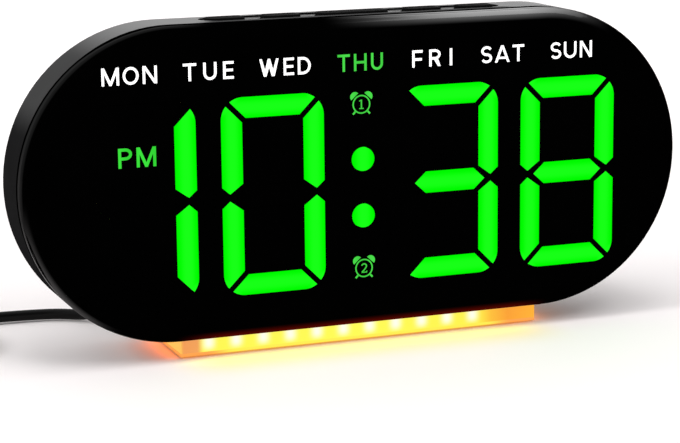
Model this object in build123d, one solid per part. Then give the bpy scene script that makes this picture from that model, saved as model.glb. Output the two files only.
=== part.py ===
"""Digital LED desk clock: a stadium-shaped face on a glowing base bar, fed by a thin lead.

Millimetres. X runs along the face, Y runs from the face to the back, Z is up.
The origin is on the desk, under the middle of the clock without its lead.
Depths are measured back from the front of the face, and heights on the face from its centre.
"""

import math
import os

from build123d import *

# Face and body
face_width = 185.0
face_height = 82.0
body_depth = 33.0
face_centre_height = 46.3
overrun = 1.0

# Front lens
lens_wall = 2.4
lens_side_depth = 5.2
lens_edge_across = 4.5
lens_edge_back = 3.0
lens_rim_wall = 1.6
lens_seat_depth = 9.2

# Housing ring
groove_width = 0.5
housing_wall = 2.2
housing_end_depth = 22.0
housing_front_round = 0.5
housing_rear_round = 0.8
slip_gap = 0.2
ledge_thickness = 1.6
ledge_reach = 4.3

# Digits on the face
digit_width_share = 0.15135
digit_height_share = 0.6317
digit_pitch_share = 0.18838
digit_pair_share = 0.26919
digit_corner = 5.8
display_left_shift = 1.3
digit_line_drop = 3.7
upright_stroke = 5.6
level_stroke = 5.35
segment_gap = 1.55
upright_tip_from_side = 2.1
upright_tip_height = 0.95
upright_inner_shoulder = 3.5
upright_outer_shoulder = 2.8
middle_tip_inset = 3.95
middle_point_length = 3.1
middle_stroke = 5.7
colon_dot_radius = 3.15
colon_dot_spread = 7.55
pipe_fit = 0.1
pipe_depth = 4.4

# Legend wells behind the face
day_pitch_share = 0.1119
day_count = 7
day_rise = 6.8
day_well_gap = 4.7
day_well_height = 6.6
half_day_height = 8.4
half_day_well_width = 11.6
half_day_well_height = 7.4
alarm_well = 7.4
alarm_upper_rise = 18.0
alarm_lower_drop = 25.9

# Reflector and display board
reflector_gap = 0.1
reflector_radius = 35.6
reflector_depth = 5.0
well_fit = 0.35
board_thickness = 1.6
board_edge_gap = 0.6
led_length = 2.0
led_breadth = 1.25
led_height = 0.8
led_offset = 5.0

# Parts on the back of the display board
chip_size = 14.0
chip_height = 1.8
chip_right = 12.0
chip_drop = 4.0
capacitor_radius = 4.0
capacitor_height = 9.0
capacitor_left = 14.0
capacitor_drop = 10.0
capacitor_space = 3.0
connector_width = 10.0
connector_height = 4.6
connector_depth = 5.0
key_connector_right = 28.0
key_connector_rise = 16.0
light_connector_right = 26.0
light_connector_drop = 22.0
jack_connector_left = 42.0

# Keys on top
key_row_right = 1.5
trough_length = 85.0
trough_breadth = 9.0
trough_sink = 0.6
trough_centre_depth = 14.5
key_breadth = 6.2
key_corner = 2.0
key_stand = 0.4
wide_key_length = 19.6
small_key_length = 10.2
key_space = 5.2
key_fit = 0.25
key_edge_round = 0.35
key_flange_margin = 0.9
key_flange_thickness = 1.0
key_flange_gap = 0.1
key_stem_radius = 2.0
key_stem_length = 1.0
key_travel = 0.6
plunger_radius = 1.75
plunger_length = 1.9
plunger_fit = 0.1
plunger_floor_gap = 0.1
switch_size = 6.0
switch_height = 3.5
switch_top_gap = 0.4
key_board_thickness = 1.2
key_board_length = 101.0
key_board_breadth = 7.4
key_post_side = 47.4
key_post_length = 5.0
key_relief_length = 94.0
key_relief_drop = 9.0

# Rear cover
cover_step = 0.7
cover_wall = 2.0
cover_taper = 20.0
cover_back_round = 2.6
screw_ring_radius = 31.0
screw_ring_angle = 50.0
boss_radius = 3.5
boss_front_gap = 0.8
boss_rib = 2.0
screw_shank_radius = 1.2
screw_head_radius = 2.4
screw_head_height = 1.6
screw_shank_length = 9.0
screw_hole_fit = 0.3
thread_fit = 0.05
screw_head_depth = 27.0
cross_length = 2.6
cross_width = 0.6
cross_sink = 0.9
head_well_radius = 2.8
sound_slot_count = 5
sound_slot_length = 13.0
sound_slot_width = 1.4
sound_slot_gap = 1.4
sound_rise = 10.0
buzzer_radius = 7.2
buzzer_height = 2.8
buzzer_ring_wall = 1.2
buzzer_ring_depth = 3.6

# Coin cell for the time memory, and its turning cap
cell_right = 44.0
cell_drop = 3.0
cell_radius = 10.0
cell_height = 3.2
cell_pocket_fit = 0.4
cap_radius = 12.0
cap_fit = 0.25
cap_thickness = 2.2
cap_slot_length = 15.0
cap_slot_width = 2.2
cap_slot_sink = 1.1
cap_turn = 50.0
lug_reach = 1.1
lug_width = 5.0
lug_thickness = 1.0
lug_inset = 0.2
groove_fit = 0.15
pocket_wall = 1.6
contact_thickness = 0.4
contact_width = 4.0
contact_length = 12.0

# Base light bar
base_length = 102.0
base_front_depth = 4.5
base_breadth = 24.5
plate_thickness = 0.9
foot_height = 0.5
foot_radius = 4.0
foot_inset = 6.5
bar_wall = 2.4
bar_top = 1.4
bar_solid_breadth = 12.5
bar_trough_sink = 0.7
bar_seam = 0.05
light_count = 11
light_row_left_gap = 10.5
light_row_right_gap = 16.2
light_length = 2.8
light_breadth = 2.2
light_height = 1.2
light_row_depth = 13.2
light_slot_margin = 0.8
light_board_left_gap = 4.5
light_board_right_gap = 5.5
light_board_near = 10.9
light_board_breadth = 5.4
light_board_thickness = 1.0
base_screw_side = 36.0
base_screw_depth = 19.1
base_boss_radius = 2.7
base_boss_height = 6.5
bar_boss_radius = 3.8
base_screw_length = 6.0
base_head_rise = 0.4
base_head_height = 1.2
base_access_radius = 2.8

# Board screws
small_shank_radius = 0.95
small_head_radius = 1.9
small_head_height = 1.3
small_screw_length = 4.4
board_screw_reach = 22.5
board_screw_edge = 5.4

# Inner wires
ribbon_thickness = 0.7
ribbon_width = 8.0
wire_pair_width = 2.4
wire_pair_thickness = 1.2
wire_bend = 2.5
wire_lane_depth = 19.5
light_lane_depth = 18.4
light_wire_bend = 2.0

# Power jack and plug
jack_left = 28.0
jack_height = 20.0
jack_width = 9.0
jack_tall = 8.0
jack_long = 11.0
jack_wire_bend_share = 0.4
jack_bore_radius = 1.85
jack_bore_depth = 10.0
jack_window_radius = 2.6
plug_pin_radius = 1.75
plug_pin_depth = 9.2
plug_body_radius = 4.2
plug_body_length = 9.3
plug_body_round = 0.8
plug_seat_gap = 0.1
plug_cord_depth = 37.9
plug_neck_reach = 10.5
plug_neck_start_radius = 3.0
plug_neck_end_radius = 1.9

# Lead
cord_radius = 1.5
cord_rest_height = 0.5
bend_share = 0.45
coil_left = 121.0
coil_back = 45.5
coil_first_radius = 24.0
coil_pitch = 3.5
coil_half_turns = 8
tie_thickness = 0.35
tie_width = 4.0
tie_fit = 0.15
tie_side_fit = 0.4
tie_corner = 1.2

# Plug at the far end of the lead
usb_body_length = 22.0
usb_body_width = 14.5
usb_body_height = 7.6
usb_body_round = 2.0
usb_neck_length = 8.0
usb_neck_radius = 1.9
usb_neck_end_radius = 3.2
usb_shell_length = 12.0
usb_shell_width = 12.0
usb_shell_height = 4.5
usb_shell_wall = 0.35
usb_tongue_height = 1.8
usb_tongue_shy = 0.6

# Worked-out sizes
face_radius = face_height / 2
face_reach = (face_width - face_height) / 2
digit_width = face_width * digit_width_share
digit_height = face_height * digit_height_share
digit_pitch = face_width * digit_pitch_share
digit_pair_gap = face_width * digit_pair_share
middle_tip = digit_width / 2 - middle_tip_inset
middle_shoulder = middle_tip - middle_point_length
day_pitch = face_width * day_pitch_share
day_well_width = day_pitch - day_well_gap
day_height = digit_height / 2 - digit_line_drop + day_rise
floor_half = (face_width - face_height) / 2
light_first = light_row_left_gap - floor_half
light_last = floor_half - light_row_right_gap
light_pitch = (light_last - light_first) / (light_count - 1)
quarter_turn = 90
front_y = -body_depth / 2
body_top = face_centre_height + face_radius
body_bottom = face_centre_height - face_radius
housing_start_depth = lens_side_depth + groove_width
housing_inner_radius = face_radius - housing_wall
skirt_radius = housing_inner_radius - slip_gap
cavity_radius = skirt_radius - lens_rim_wall
board_front_depth = lens_seat_depth - board_thickness
reflector_front_depth = lens_wall + reflector_gap
key_front_depth = trough_centre_depth - key_breadth / 2
small_key_side = wide_key_length / 2 + key_space + small_key_length / 2
outer_key_side = small_key_side + small_key_length + key_space
skin_under = body_top - housing_wall
flange_top = skin_under - key_flange_gap
flange_under = flange_top - key_flange_thickness
stem_under = flange_under - key_stem_length
switch_top = stem_under - key_travel - switch_top_gap
key_board_top = switch_top - switch_height
cell_floor_depth = body_depth - cap_thickness - groove_fit - 2 * contact_thickness - cell_height
jack_front_depth = body_depth - cover_wall - jack_long
base_low = foot_height
bar_low = base_low + plate_thickness
bar_high = body_bottom - bar_seam
cord_level = cord_radius + cord_rest_height
coil_layer = coil_pitch

keys = {
    "key_outer_left": (key_row_right - outer_key_side, small_key_length),
    "key_inner_left": (key_row_right - small_key_side, small_key_length),
    "key_wide": (key_row_right, wide_key_length),
    "key_inner_right": (key_row_right + small_key_side, small_key_length),
    "key_outer_right": (key_row_right + outer_key_side, small_key_length),
}

# Segments that glow for each digit of 10:38, from the left
lit_segments = ["bc", "abcdef", "abcdg", "abcdefg"]

# The lead from its plug to the coil, chosen by hand: out of the back, down to the desk, to the left
cord_route = [
    (-38.5, 21.4, 20.0),
    (-48.5, 21.4, 20.0),
    (-56.0, 25.6, 13.6),
    (-61.0, 31.4, 6.4),
    (-67.0, 38.3, 2.6),
    (-75.5, 42.2, 2.1),
    (-86.5, 44.0, 2.2),
    (-97.0, 45.1, 2.0),
    (-107.5, 45.5, 2.0),
]

# The short end of the lead from the coil to its far plug, starting on the coil's upper layer
tail_route = [
    (-133.0, 45.5, 5.5),
    (-142.0, 46.4, 4.6),
    (-148.3, 52.8, 3.2),
    (-148.3, 61.8, 2.6),
    (-142.0, 68.1, 3.9),
    (-133.0, 68.1, 3.9),
]


def save(name, shape):
    """Writes one piece to its own file."""
    export_step(shape, f"parts/{name}.step")


def group(solids):
    """Several loose solids kept as one piece."""
    return Compound(children=list(solids))


def face_plane(depth):
    """A plane across the clock, its local x along the face and its local y up from the face's centre."""
    return Plane(origin=(0, front_y + depth, face_centre_height), x_dir=(1, 0, 0), z_dir=(0, -1, 0))


def slab(sketch, near, far):
    """A sketch on the face made solid from one depth to another."""
    return extrude(face_plane(far) * sketch, amount=far - near)


def tower(sketch, low, high):
    """A sketch seen from above made solid from one height to another."""
    return extrude(Plane.XY.offset(low) * sketch, amount=high - low)


def stadium(radius, reach=face_reach):
    """The face's outline at a given half height."""
    return SlotCenterToCenter(2 * reach, 2 * radius)


def block(x_from, x_to, near, far, low, high):
    """A plain box between two sides, two depths and two heights above the desk."""
    return Pos(
        (x_from + x_to) / 2,
        front_y + (near + far) / 2,
        (low + high) / 2,
    ) * Box(x_to - x_from, far - near, high - low)


def dot(x, height):
    """A place on the face, for a sketch."""
    return Pos(x, height)


def cylinder_back(x, height, radius, near, far):
    """A round bar along the depth, at a place on the face."""
    return slab(dot(x, height) * Circle(radius), near, far)


def cylinder_up(x, depth, radius, low, high):
    """An upright round bar, at a place seen from above."""
    return tower(dot(x, front_y + depth) * Circle(radius), low, high)


def level_segment():
    """The top bar of a digit: mitred ends under the digit's rounded corners."""
    high = digit_height / 2
    low = high - level_stroke
    mitre = segment_gap / math.sqrt(2)
    inner = digit_width / 2 - upright_stroke
    low_end = inner - mitre
    high_end = low_end + level_stroke
    shape = Polygon((-low_end, low), (low_end, low), (high_end, high), (-high_end, high), align=None)
    return shape & RectangleRounded(digit_width, digit_height, digit_corner)


def upright_segment():
    """The upper left bar of a digit: mitred on top and pointed below."""
    side = digit_width / 2
    inner = side - upright_stroke
    mitre = segment_gap / math.sqrt(2)
    low_of_level = digit_height / 2 - level_stroke
    inner_high = low_of_level - mitre
    outer_high = inner_high + upright_stroke
    shape = Polygon(
        (-side, upright_outer_shoulder),
        (-side + upright_tip_from_side, upright_tip_height),
        (-inner, upright_inner_shoulder),
        (-inner, inner_high),
        (-side, outer_high),
        align=None,
    )
    return shape & RectangleRounded(digit_width, digit_height, digit_corner)


def middle_segment():
    """The middle bar of a digit, pointed at both ends."""
    half = middle_stroke / 2
    return Polygon(
        (-middle_tip, 0),
        (-middle_shoulder, -half),
        (middle_shoulder, -half),
        (middle_tip, 0),
        (middle_shoulder, half),
        (-middle_shoulder, half),
        align=None,
    )


def segments():
    """The seven bars of a digit by their usual letters, round the digit's centre."""
    top = level_segment()
    upper_left = upright_segment()
    half_turn = Rot(0, 0, 180)
    lower_left = mirror(upper_left, about=Plane.XZ)
    return {
        "a": top,
        "b": half_turn * lower_left,
        "c": half_turn * upper_left,
        "d": half_turn * top,
        "e": lower_left,
        "f": upper_left,
        "g": middle_segment(),
    }


def segment_middles():
    """The middle of each bar and whether it stands upright, round the digit's centre."""
    side = digit_width / 2 - upright_stroke / 2
    high = digit_height / 2 - level_stroke / 2
    half = digit_height / 4
    return {
        "a": (0, high, False),
        "b": (side, half, True),
        "c": (side, -half, True),
        "d": (0, -high, False),
        "e": (-side, -half, True),
        "f": (-side, half, True),
        "g": (0, 0, False),
    }


def digit_places():
    """The centres of the four digits along the face, from the left."""
    near = digit_pair_gap / 2
    far = near + digit_pitch
    return [side - display_left_shift for side in (-far, -near, near, far)]


def colon_places():
    """The centres of the two dots between the hours and the minutes."""
    return [
        (-display_left_shift, -digit_line_drop + colon_dot_spread),
        (-display_left_shift, -digit_line_drop - colon_dot_spread),
    ]


def legend_wells():
    """Boxes behind the printed legends: the days, the half of the day and the two alarms."""
    wells = []
    first = -display_left_shift - day_pitch * (day_count - 1) / 2
    for index in range(day_count):
        wells.append((first + index * day_pitch, day_height, day_well_width, day_well_height))
    wells.append((digit_places()[0], half_day_height, half_day_well_width, half_day_well_height))
    wells.append((-display_left_shift, alarm_upper_rise, alarm_well, alarm_well))
    wells.append((-display_left_shift, -alarm_lower_drop, alarm_well, alarm_well))
    return wells


def windows(growth):
    """Every bar and dot on the face as one sketch, grown all round."""
    shapes = []
    bars = segments()
    for centre in digit_places():
        for bar in bars.values():
            grown = offset(bar, amount=growth, kind=Kind.INTERSECTION)
            shapes.append(dot(centre, -digit_line_drop) * grown)
    for x, height in colon_places():
        shapes.append(dot(x, height) * Circle(colon_dot_radius + growth))
    return shapes


def lens_profile():
    """Half of the lens's outer section: depth against distance from the middle line."""
    flat = face_radius - lens_edge_across
    front = Line((0, 0), (0, flat))
    edge = EllipticalCenterArc(
        (lens_edge_back, flat), lens_edge_back, lens_edge_across, start_angle=quarter_turn, arc_size=quarter_turn,
    )
    side = Line((lens_edge_back, face_radius), (lens_side_depth, face_radius))
    back = Line((lens_side_depth, face_radius), (lens_side_depth, 0))
    middle = Line((lens_side_depth, 0), (0, 0))
    return make_face([front, edge, side, back, middle])


def lens_body():
    """The lens as a solid pebble: a straight middle and two turned ends."""
    half = lens_profile()
    section = half + mirror(half, about=Plane.XZ)
    across = Plane(origin=(-face_reach, front_y, face_centre_height), x_dir=(0, 1, 0), z_dir=(1, 0, 0))
    body = extrude(across * section, amount=2 * face_reach)
    for side in (-1, 1):
        centre = (side * face_reach, front_y, face_centre_height)
        end_plane = Plane(origin=centre, x_dir=(0, 1, 0), z_dir=(1, 0, 0))
        turned = revolve(end_plane * half, axis=Axis(centre, (0, 1, 0)), revolution_arc=180 * side)
        body += turned
    return body


def front_lens():
    """The glossy front: rounded edge, a skirt that plugs into the housing, and windows for the digits."""
    body = lens_body() + slab(stadium(skirt_radius), lens_side_depth, lens_seat_depth)
    body -= slab(stadium(cavity_radius), lens_wall, lens_seat_depth + overrun)
    cutters = [slab(shape, -overrun, lens_wall + overrun) for shape in windows(pipe_fit)]
    body -= cutters
    return body


def light_pipes():
    """Clear inserts that bring the light to the face, for the bars that glow and those that don't."""
    pieces = {}
    bars = segments()
    for number, centre in enumerate(digit_places()):
        lit = []
        dark = []
        for letter, bar in bars.items():
            pipe = slab(dot(centre, -digit_line_drop) * bar, 0, pipe_depth)
            target = lit if letter in lit_segments[number] else dark
            target.append(pipe)
        pieces[f"digit_{number + 1}_lit"] = lit
        if dark:
            pieces[f"digit_{number + 1}_dark"] = dark
    pieces["colon_dots"] = [
        cylinder_back(x, height, colon_dot_radius, 0, pipe_depth) for x, height in colon_places()
    ]
    return pieces


def display_reflector():
    """The block of wells that keeps each bar's light to itself."""
    far = reflector_front_depth + reflector_depth
    body = slab(stadium(reflector_radius), reflector_front_depth, far)
    cutters = [slab(shape, reflector_front_depth - overrun, far + overrun) for shape in windows(well_fit)]
    for x, height, width, tall in legend_wells():
        cutters.append(slab(dot(x, height) * Rectangle(width, tall), reflector_front_depth - overrun, far + overrun))
    for x, height in board_screw_places():
        cutters.append(cylinder_back(x, height, small_shank_radius + thread_fit, far - small_screw_length, far))
    body -= cutters
    return body


def board_screw_places():
    """Where four small screws join the display board to the reflector, and hold both."""
    end = face_reach + board_screw_reach
    level = cavity_radius - board_screw_edge
    return [(-end, 0), (end, 0), (-2 * day_pitch, -level), (2 * day_pitch, -level)]


def display_board():
    """The display's circuit board."""
    body = slab(stadium(cavity_radius - board_edge_gap), board_front_depth, lens_seat_depth)
    cutters = []
    for x, height in board_screw_places():
        cutters.append(
            cylinder_back(
                x, height, small_shank_radius + screw_hole_fit,
                board_front_depth - overrun, lens_seat_depth + overrun,
            )
        )
    body -= cutters
    return body


def display_leds():
    """The small lamps in the wells: two for each bar, one for each dot and legend."""
    near = board_front_depth - led_height
    lamps = []
    for centre in digit_places():
        for x, height, upright in segment_middles().values():
            for side in (-1, 1):
                lamp_x = centre + x + (0 if upright else side * led_offset)
                lamp_height = -digit_line_drop + height + (side * led_offset if upright else 0)
                lamps.append((lamp_x, lamp_height))
    lamps += colon_places()
    lamps += [(x, height) for x, height, width, tall in legend_wells()]
    lamp = Rectangle(led_length, led_breadth)
    return [slab(dot(x, height) * lamp, near, board_front_depth) for x, height in lamps]


def on_board_back(x, height, shape, thickness):
    """A part that stands on the back of the display board."""
    return slab(dot(x, height) * shape, lens_seat_depth, lens_seat_depth + thickness)


def controller_chip():
    """The chip that runs the clock, with a bevelled top and its pin-one dimple."""
    half = chip_height / 2
    body = on_board_back(chip_right, -chip_drop, Rectangle(chip_size, chip_size), half)
    upper = extrude(
        face_plane(lens_seat_depth + half) * dot(chip_right, -chip_drop) * Rectangle(chip_size, chip_size),
        amount=-half,
        taper=cover_taper,
    )
    return body + upper


def capacitors():
    """Two upright smoothing capacitors, with the crimp near the foot."""
    pieces = []
    crimp = capacitor_radius / 8
    for index in range(2):
        x = -capacitor_left - index * (2 * capacitor_radius + capacitor_space)
        can = on_board_back(x, -capacitor_drop, Circle(capacitor_radius), capacitor_height)
        low = lens_seat_depth + 2 * crimp
        ring = slab(
            dot(x, -capacitor_drop) * (Circle(capacitor_radius + crimp) - Circle(capacitor_radius - crimp)),
            low,
            low + 2 * crimp,
        )
        pieces.append(can - ring)
    return pieces


def connector_places():
    """The sockets on the back of the display board: keys, light bar and power."""
    return [
        (key_connector_right, key_connector_rise),
        (light_connector_right, -light_connector_drop),
        (-jack_connector_left, jack_height - face_centre_height),
    ]


def board_connectors():
    """White wire sockets, one on the display board for each lead and one under the key board."""
    shape = Rectangle(connector_width, connector_height)
    pieces = [on_board_back(x, height, shape, connector_depth) for x, height in connector_places()]
    under = key_board_top - key_board_thickness
    lane = wire_lane_depth
    pieces.append(
        block(
            key_connector_right - connector_width / 2,
            key_connector_right + connector_width / 2,
            key_front_depth,
            lane - ribbon_thickness / 2,
            under - connector_height / 2,
            under,
        )
    )
    return pieces


def cross_recess(screw, plane):
    """Cuts the cross slot into a screw's head, down from a plane on top of it."""
    cross = Rectangle(cross_length, cross_width) + Rectangle(cross_width, cross_length)
    return screw - extrude(plane * cross, amount=-cross_sink)


def cover_side_plane(x, height, depth):
    """A plane across the depth at a place on the face, looking out of the back."""
    return Plane(
        origin=(x, front_y + depth, face_centre_height + height), x_dir=(1, 0, 0), z_dir=(0, 1, 0),
    )


def under_plane(x, depth, height):
    """A level plane at a place seen from above, looking down."""
    return Plane(origin=(x, front_y + depth, height), x_dir=(1, 0, 0), z_dir=(0, 0, -1))


def board_screws():
    """Small screws of the display board, heads behind it, and of the key board, heads below it."""
    pieces = []
    for x, height in board_screw_places():
        tip = lens_seat_depth - small_screw_length
        shank = cylinder_back(x, height, small_shank_radius, tip, lens_seat_depth)
        top = lens_seat_depth + small_head_height
        head = cylinder_back(x, height, small_head_radius, lens_seat_depth, top)
        pieces.append(cross_recess(shank + head, cover_side_plane(x, height, top)))
    under = key_board_top - key_board_thickness
    for side in (-1, 1):
        x = side * key_post_side
        shank = cylinder_up(x, trough_centre_depth, small_shank_radius, under, under + small_screw_length)
        low = under - small_head_height
        head = cylinder_up(x, trough_centre_depth, small_head_radius, low, under)
        pieces.append(cross_recess(shank + head, under_plane(x, trough_centre_depth, low)))
    return pieces


def cover_screw_places():
    """Four places near the rounded ends where the cover is screwed to the housing."""
    angle = math.radians(screw_ring_angle)
    x = face_reach + screw_ring_radius * math.cos(angle)
    height = screw_ring_radius * math.sin(angle)
    return [(side * x, level * height) for side in (-1, 1) for level in (-1, 1)]


def housing_boss(x, height):
    """A screw post with the rib that ties it to the ring."""
    near = lens_seat_depth + boss_front_gap
    side = math.copysign(1, x)
    post = cylinder_back(x, height, boss_radius, near, housing_end_depth)
    reach = housing_inner_radius - screw_ring_radius
    angle = math.degrees(math.atan2(height, x - side * face_reach))
    strip = Rot(0, 0, angle) * Pos(reach / 2, 0) * Rectangle(reach + housing_wall / 2, boss_rib)
    rib = slab(dot(x, height) * strip, near, housing_end_depth)
    hole_near = screw_head_depth - screw_shank_length - overrun
    hole = cylinder_back(x, height, screw_shank_radius + thread_fit, hole_near, housing_end_depth + overrun)
    return post + rib - hole


def key_plan(length, growth=0):
    """A key seen from above."""
    return RectangleRounded(length + 2 * growth, key_breadth + 2 * growth, key_corner + growth)


def key_place(x):
    """A key's place seen from above."""
    return dot(x, front_y + trough_centre_depth)


def housing():
    """The ring round the clock: key trough on top, lens ledge, cover posts and the light slot below."""
    ring = slab(stadium(face_radius), housing_start_depth, housing_end_depth)
    front_edges = ring.faces().sort_by(Axis.Y)[0].edges()
    rear_edges = ring.faces().sort_by(Axis.Y)[-1].edges()
    ring = fillet(front_edges, housing_front_round)
    rear_edges = ring.faces().sort_by(Axis.Y)[-1].edges()
    ring = fillet(rear_edges, housing_rear_round)
    ring -= slab(stadium(housing_inner_radius), housing_start_depth - overrun, housing_end_depth + overrun)
    ledge_end = lens_seat_depth + ledge_thickness
    ledge = slab(stadium(housing_inner_radius + slip_gap), lens_seat_depth, ledge_end)
    ledge -= slab(stadium(housing_inner_radius - ledge_reach), lens_seat_depth - overrun, ledge_end + overrun)
    ledge -= block(
        -key_relief_length / 2, key_relief_length / 2,
        lens_seat_depth - overrun, ledge_end + overrun,
        body_top - key_relief_drop, body_top,
    )
    ring += ledge
    for x, height in cover_screw_places():
        ring += housing_boss(x, height)
    for side in (-1, 1):
        x = side * key_post_side
        post = block(
            x - key_post_length / 2, x + key_post_length / 2,
            trough_centre_depth - key_breadth / 2, trough_centre_depth + key_breadth / 2,
            key_board_top, skin_under + slip_gap,
        )
        hole_top = key_board_top - key_board_thickness + small_screw_length + slip_gap
        post -= cylinder_up(
            x, trough_centre_depth, small_shank_radius + thread_fit, key_board_top - overrun, hole_top,
        )
        ring += post
        x = side * base_screw_side
        boss = cylinder_up(
            x, base_screw_depth, base_boss_radius,
            body_bottom + housing_wall - slip_gap, body_bottom + base_boss_height,
        )
        ring += boss
    ring -= tower(
        key_place(key_row_right) * SlotOverall(trough_length, trough_breadth),
        body_top - trough_sink, body_top + overrun,
    )
    for x, length in keys.values():
        ring -= tower(key_place(x) * key_plan(length, key_fit), skin_under - overrun, body_top + overrun)
    ring -= light_slot()
    for side in (-1, 1):
        ring -= cylinder_up(
            side * base_screw_side, base_screw_depth, screw_shank_radius + thread_fit,
            body_bottom - overrun, body_bottom + base_screw_length,
        )
    return ring


def light_slot():
    """The slot in the ring's floor that the lamps of the base shine through."""
    half = light_breadth / 2 + light_slot_margin
    return block(
        light_first - light_length, light_last + light_length,
        light_row_depth - half, light_row_depth + half,
        body_bottom - overrun, body_bottom + housing_wall + overrun,
    )


def key(x, length):
    """A key: rounded cap, a flange that stops it under the skin, and the stem that meets its switch."""
    cap = tower(key_place(x) * key_plan(length), flange_under, body_top + key_stand)
    cap = fillet(cap.faces().sort_by(Axis.Z)[-1].edges(), key_edge_round)
    flange = tower(key_place(x) * key_plan(length, key_flange_margin), flange_under, flange_top)
    stem = tower(key_place(x) * Circle(key_stem_radius), stem_under, flange_under)
    return cap + flange + stem


def plunger(x):
    """The moving pip of a switch."""
    return tower(key_place(x) * Circle(plunger_radius), stem_under - plunger_length, stem_under)


def switch(x):
    """A push switch's case, with the well that its pip moves in."""
    case = tower(key_place(x) * RectangleRounded(switch_size, switch_size, plunger_floor_gap * 4), key_board_top, switch_top)
    floor = stem_under - plunger_length - key_travel - plunger_floor_gap
    return case - tower(key_place(x) * Circle(plunger_radius + plunger_fit), floor, switch_top + overrun)


def key_board():
    """The narrow board under the keys."""
    half_length = key_board_length / 2
    half_breadth = key_board_breadth / 2
    body = block(
        -half_length, half_length,
        trough_centre_depth - half_breadth, trough_centre_depth + half_breadth,
        key_board_top - key_board_thickness, key_board_top,
    )
    for side in (-1, 1):
        body -= cylinder_up(
            side * key_post_side, trough_centre_depth, small_shank_radius + screw_hole_fit,
            key_board_top - key_board_thickness - overrun, key_board_top + overrun,
        )
    return body


def strip(points, radii, plane, thickness, width):
    """A flat lead bent in one plane: its middle line given two sizes."""
    line = FilletPolyline(*points, radius=radii)
    return extrude(plane * trace(line, thickness), amount=width / 2, both=True)


def side_plane(x):
    """A plane seen from the left end: its local x runs back and its local y runs up."""
    return Plane(origin=(x, front_y, 0), x_dir=(0, 1, 0), z_dir=(1, 0, 0))


def key_ribbon():
    """The flat lead from the key board down to the display board."""
    top = key_board_top - key_board_thickness
    low = face_centre_height + key_connector_rise
    lane = wire_lane_depth
    points = [(lane, top - slip_gap), (lane, low), (lens_seat_depth + connector_depth, low)]
    return strip(points, [wire_bend], side_plane(key_connector_right), ribbon_thickness, ribbon_width)


def light_wires():
    """The pair of wires from the lamps' board up to the display board."""
    low = body_bottom + housing_wall + light_board_thickness / 2
    high = face_centre_height - light_connector_drop
    lane = light_lane_depth
    edge = light_board_near + light_board_breadth
    points = [(edge, low), (lane, low), (lane, high), (lens_seat_depth + connector_depth, high)]
    radii = [light_wire_bend, light_wire_bend]
    return strip(points, radii, side_plane(light_connector_right), light_board_thickness, wire_pair_width)


def jack_wires():
    """The pair of wires from the power jack to the display board."""
    near = lens_seat_depth + connector_depth
    far = jack_front_depth
    middle = (near + far) / 2
    bend = (far - near) * jack_wire_bend_share / 2
    start = (-jack_connector_left, front_y + near)
    first = (-jack_connector_left, front_y + middle)
    second = (-jack_left - jack_width / 4, front_y + middle)
    end = (-jack_left - jack_width / 4, front_y + far)
    line = FilletPolyline(start, first, second, end, radius=[bend, bend])
    plane = Plane.XY.offset(jack_height)
    return extrude(plane * trace(line, wire_pair_thickness), amount=wire_pair_width / 2, both=True)


def cover_shell():
    """The rear cover's tapered shell."""
    depth = body_depth - housing_end_depth
    outer_sketch = face_plane(housing_end_depth) * stadium(face_radius - cover_step)
    outer = extrude(outer_sketch, amount=-depth, taper=cover_taper)
    outer = fillet(outer.faces().sort_by(Axis.Y)[-1].edges(), cover_back_round)
    inner_sketch = face_plane(housing_end_depth) * stadium(face_radius - cover_step - cover_wall)
    inner = extrude(inner_sketch, amount=-(depth - cover_wall), taper=cover_taper)
    return outer - inner


def sound_slots():
    """The row of slots over the buzzer."""
    middle = (sound_slot_count - 1) / 2
    shapes = []
    for index in range(sound_slot_count):
        height = sound_rise + (index - middle) * (sound_slot_width + sound_slot_gap)
        shape = dot(0, height) * SlotOverall(sound_slot_length, sound_slot_width)
        shapes.append(slab(shape, body_depth - cover_wall - overrun, body_depth + overrun))
    return shapes


def cap_cutters():
    """The cap's round seat, its groove and the two notches that let its lugs in."""
    seat = cap_radius + cap_fit
    seat_depth = body_depth - cap_thickness - groove_fit
    lug_near = body_depth - cap_thickness + lug_inset - groove_fit
    lug_far = lug_near + lug_thickness + 2 * groove_fit
    groove_radius = cap_radius + lug_reach + groove_fit
    cutters = [
        cylinder_back(cell_right, -cell_drop, seat, seat_depth, body_depth + overrun),
        cylinder_back(cell_right, -cell_drop, groove_radius, lug_near, lug_far),
        cylinder_back(cell_right, -cell_drop, cell_radius + cell_pocket_fit, cell_floor_depth, body_depth + overrun),
    ]
    notch = Rectangle(2 * groove_radius, lug_width + 2 * groove_fit)
    place = dot(cell_right, -cell_drop) * Rot(0, 0, cap_turn)
    cutters.append(slab(place * notch, lug_near, body_depth + overrun))
    return cutters


def rear_cover():
    """The rear cover: screw wells, buzzer ring and slots, coin cell pocket and the power opening."""
    body = cover_shell()
    inside = body_depth - cover_wall
    for x, height in cover_screw_places():
        body += cylinder_back(x, height, boss_radius, housing_end_depth, inside + slip_gap)
    ring = Circle(buzzer_radius + slip_gap + buzzer_ring_wall) - Circle(buzzer_radius + slip_gap)
    body += slab(dot(0, sound_rise) * ring, inside - buzzer_ring_depth, inside + slip_gap)
    pocket_radius = cap_radius + lug_reach + groove_fit + pocket_wall
    body += cylinder_back(cell_right, -cell_drop, pocket_radius, cell_floor_depth - pocket_wall, inside + slip_gap)
    for x, height in cover_screw_places():
        body -= cylinder_back(
            x, height, screw_shank_radius + screw_hole_fit, housing_end_depth - overrun, body_depth + overrun,
        )
        body -= cylinder_back(x, height, head_well_radius, screw_head_depth, body_depth + overrun)
    body -= sound_slots()
    body -= cap_cutters()
    jack_level = jack_height - face_centre_height
    body -= cylinder_back(-jack_left, jack_level, jack_window_radius, inside - overrun, body_depth + overrun)
    return body


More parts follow.
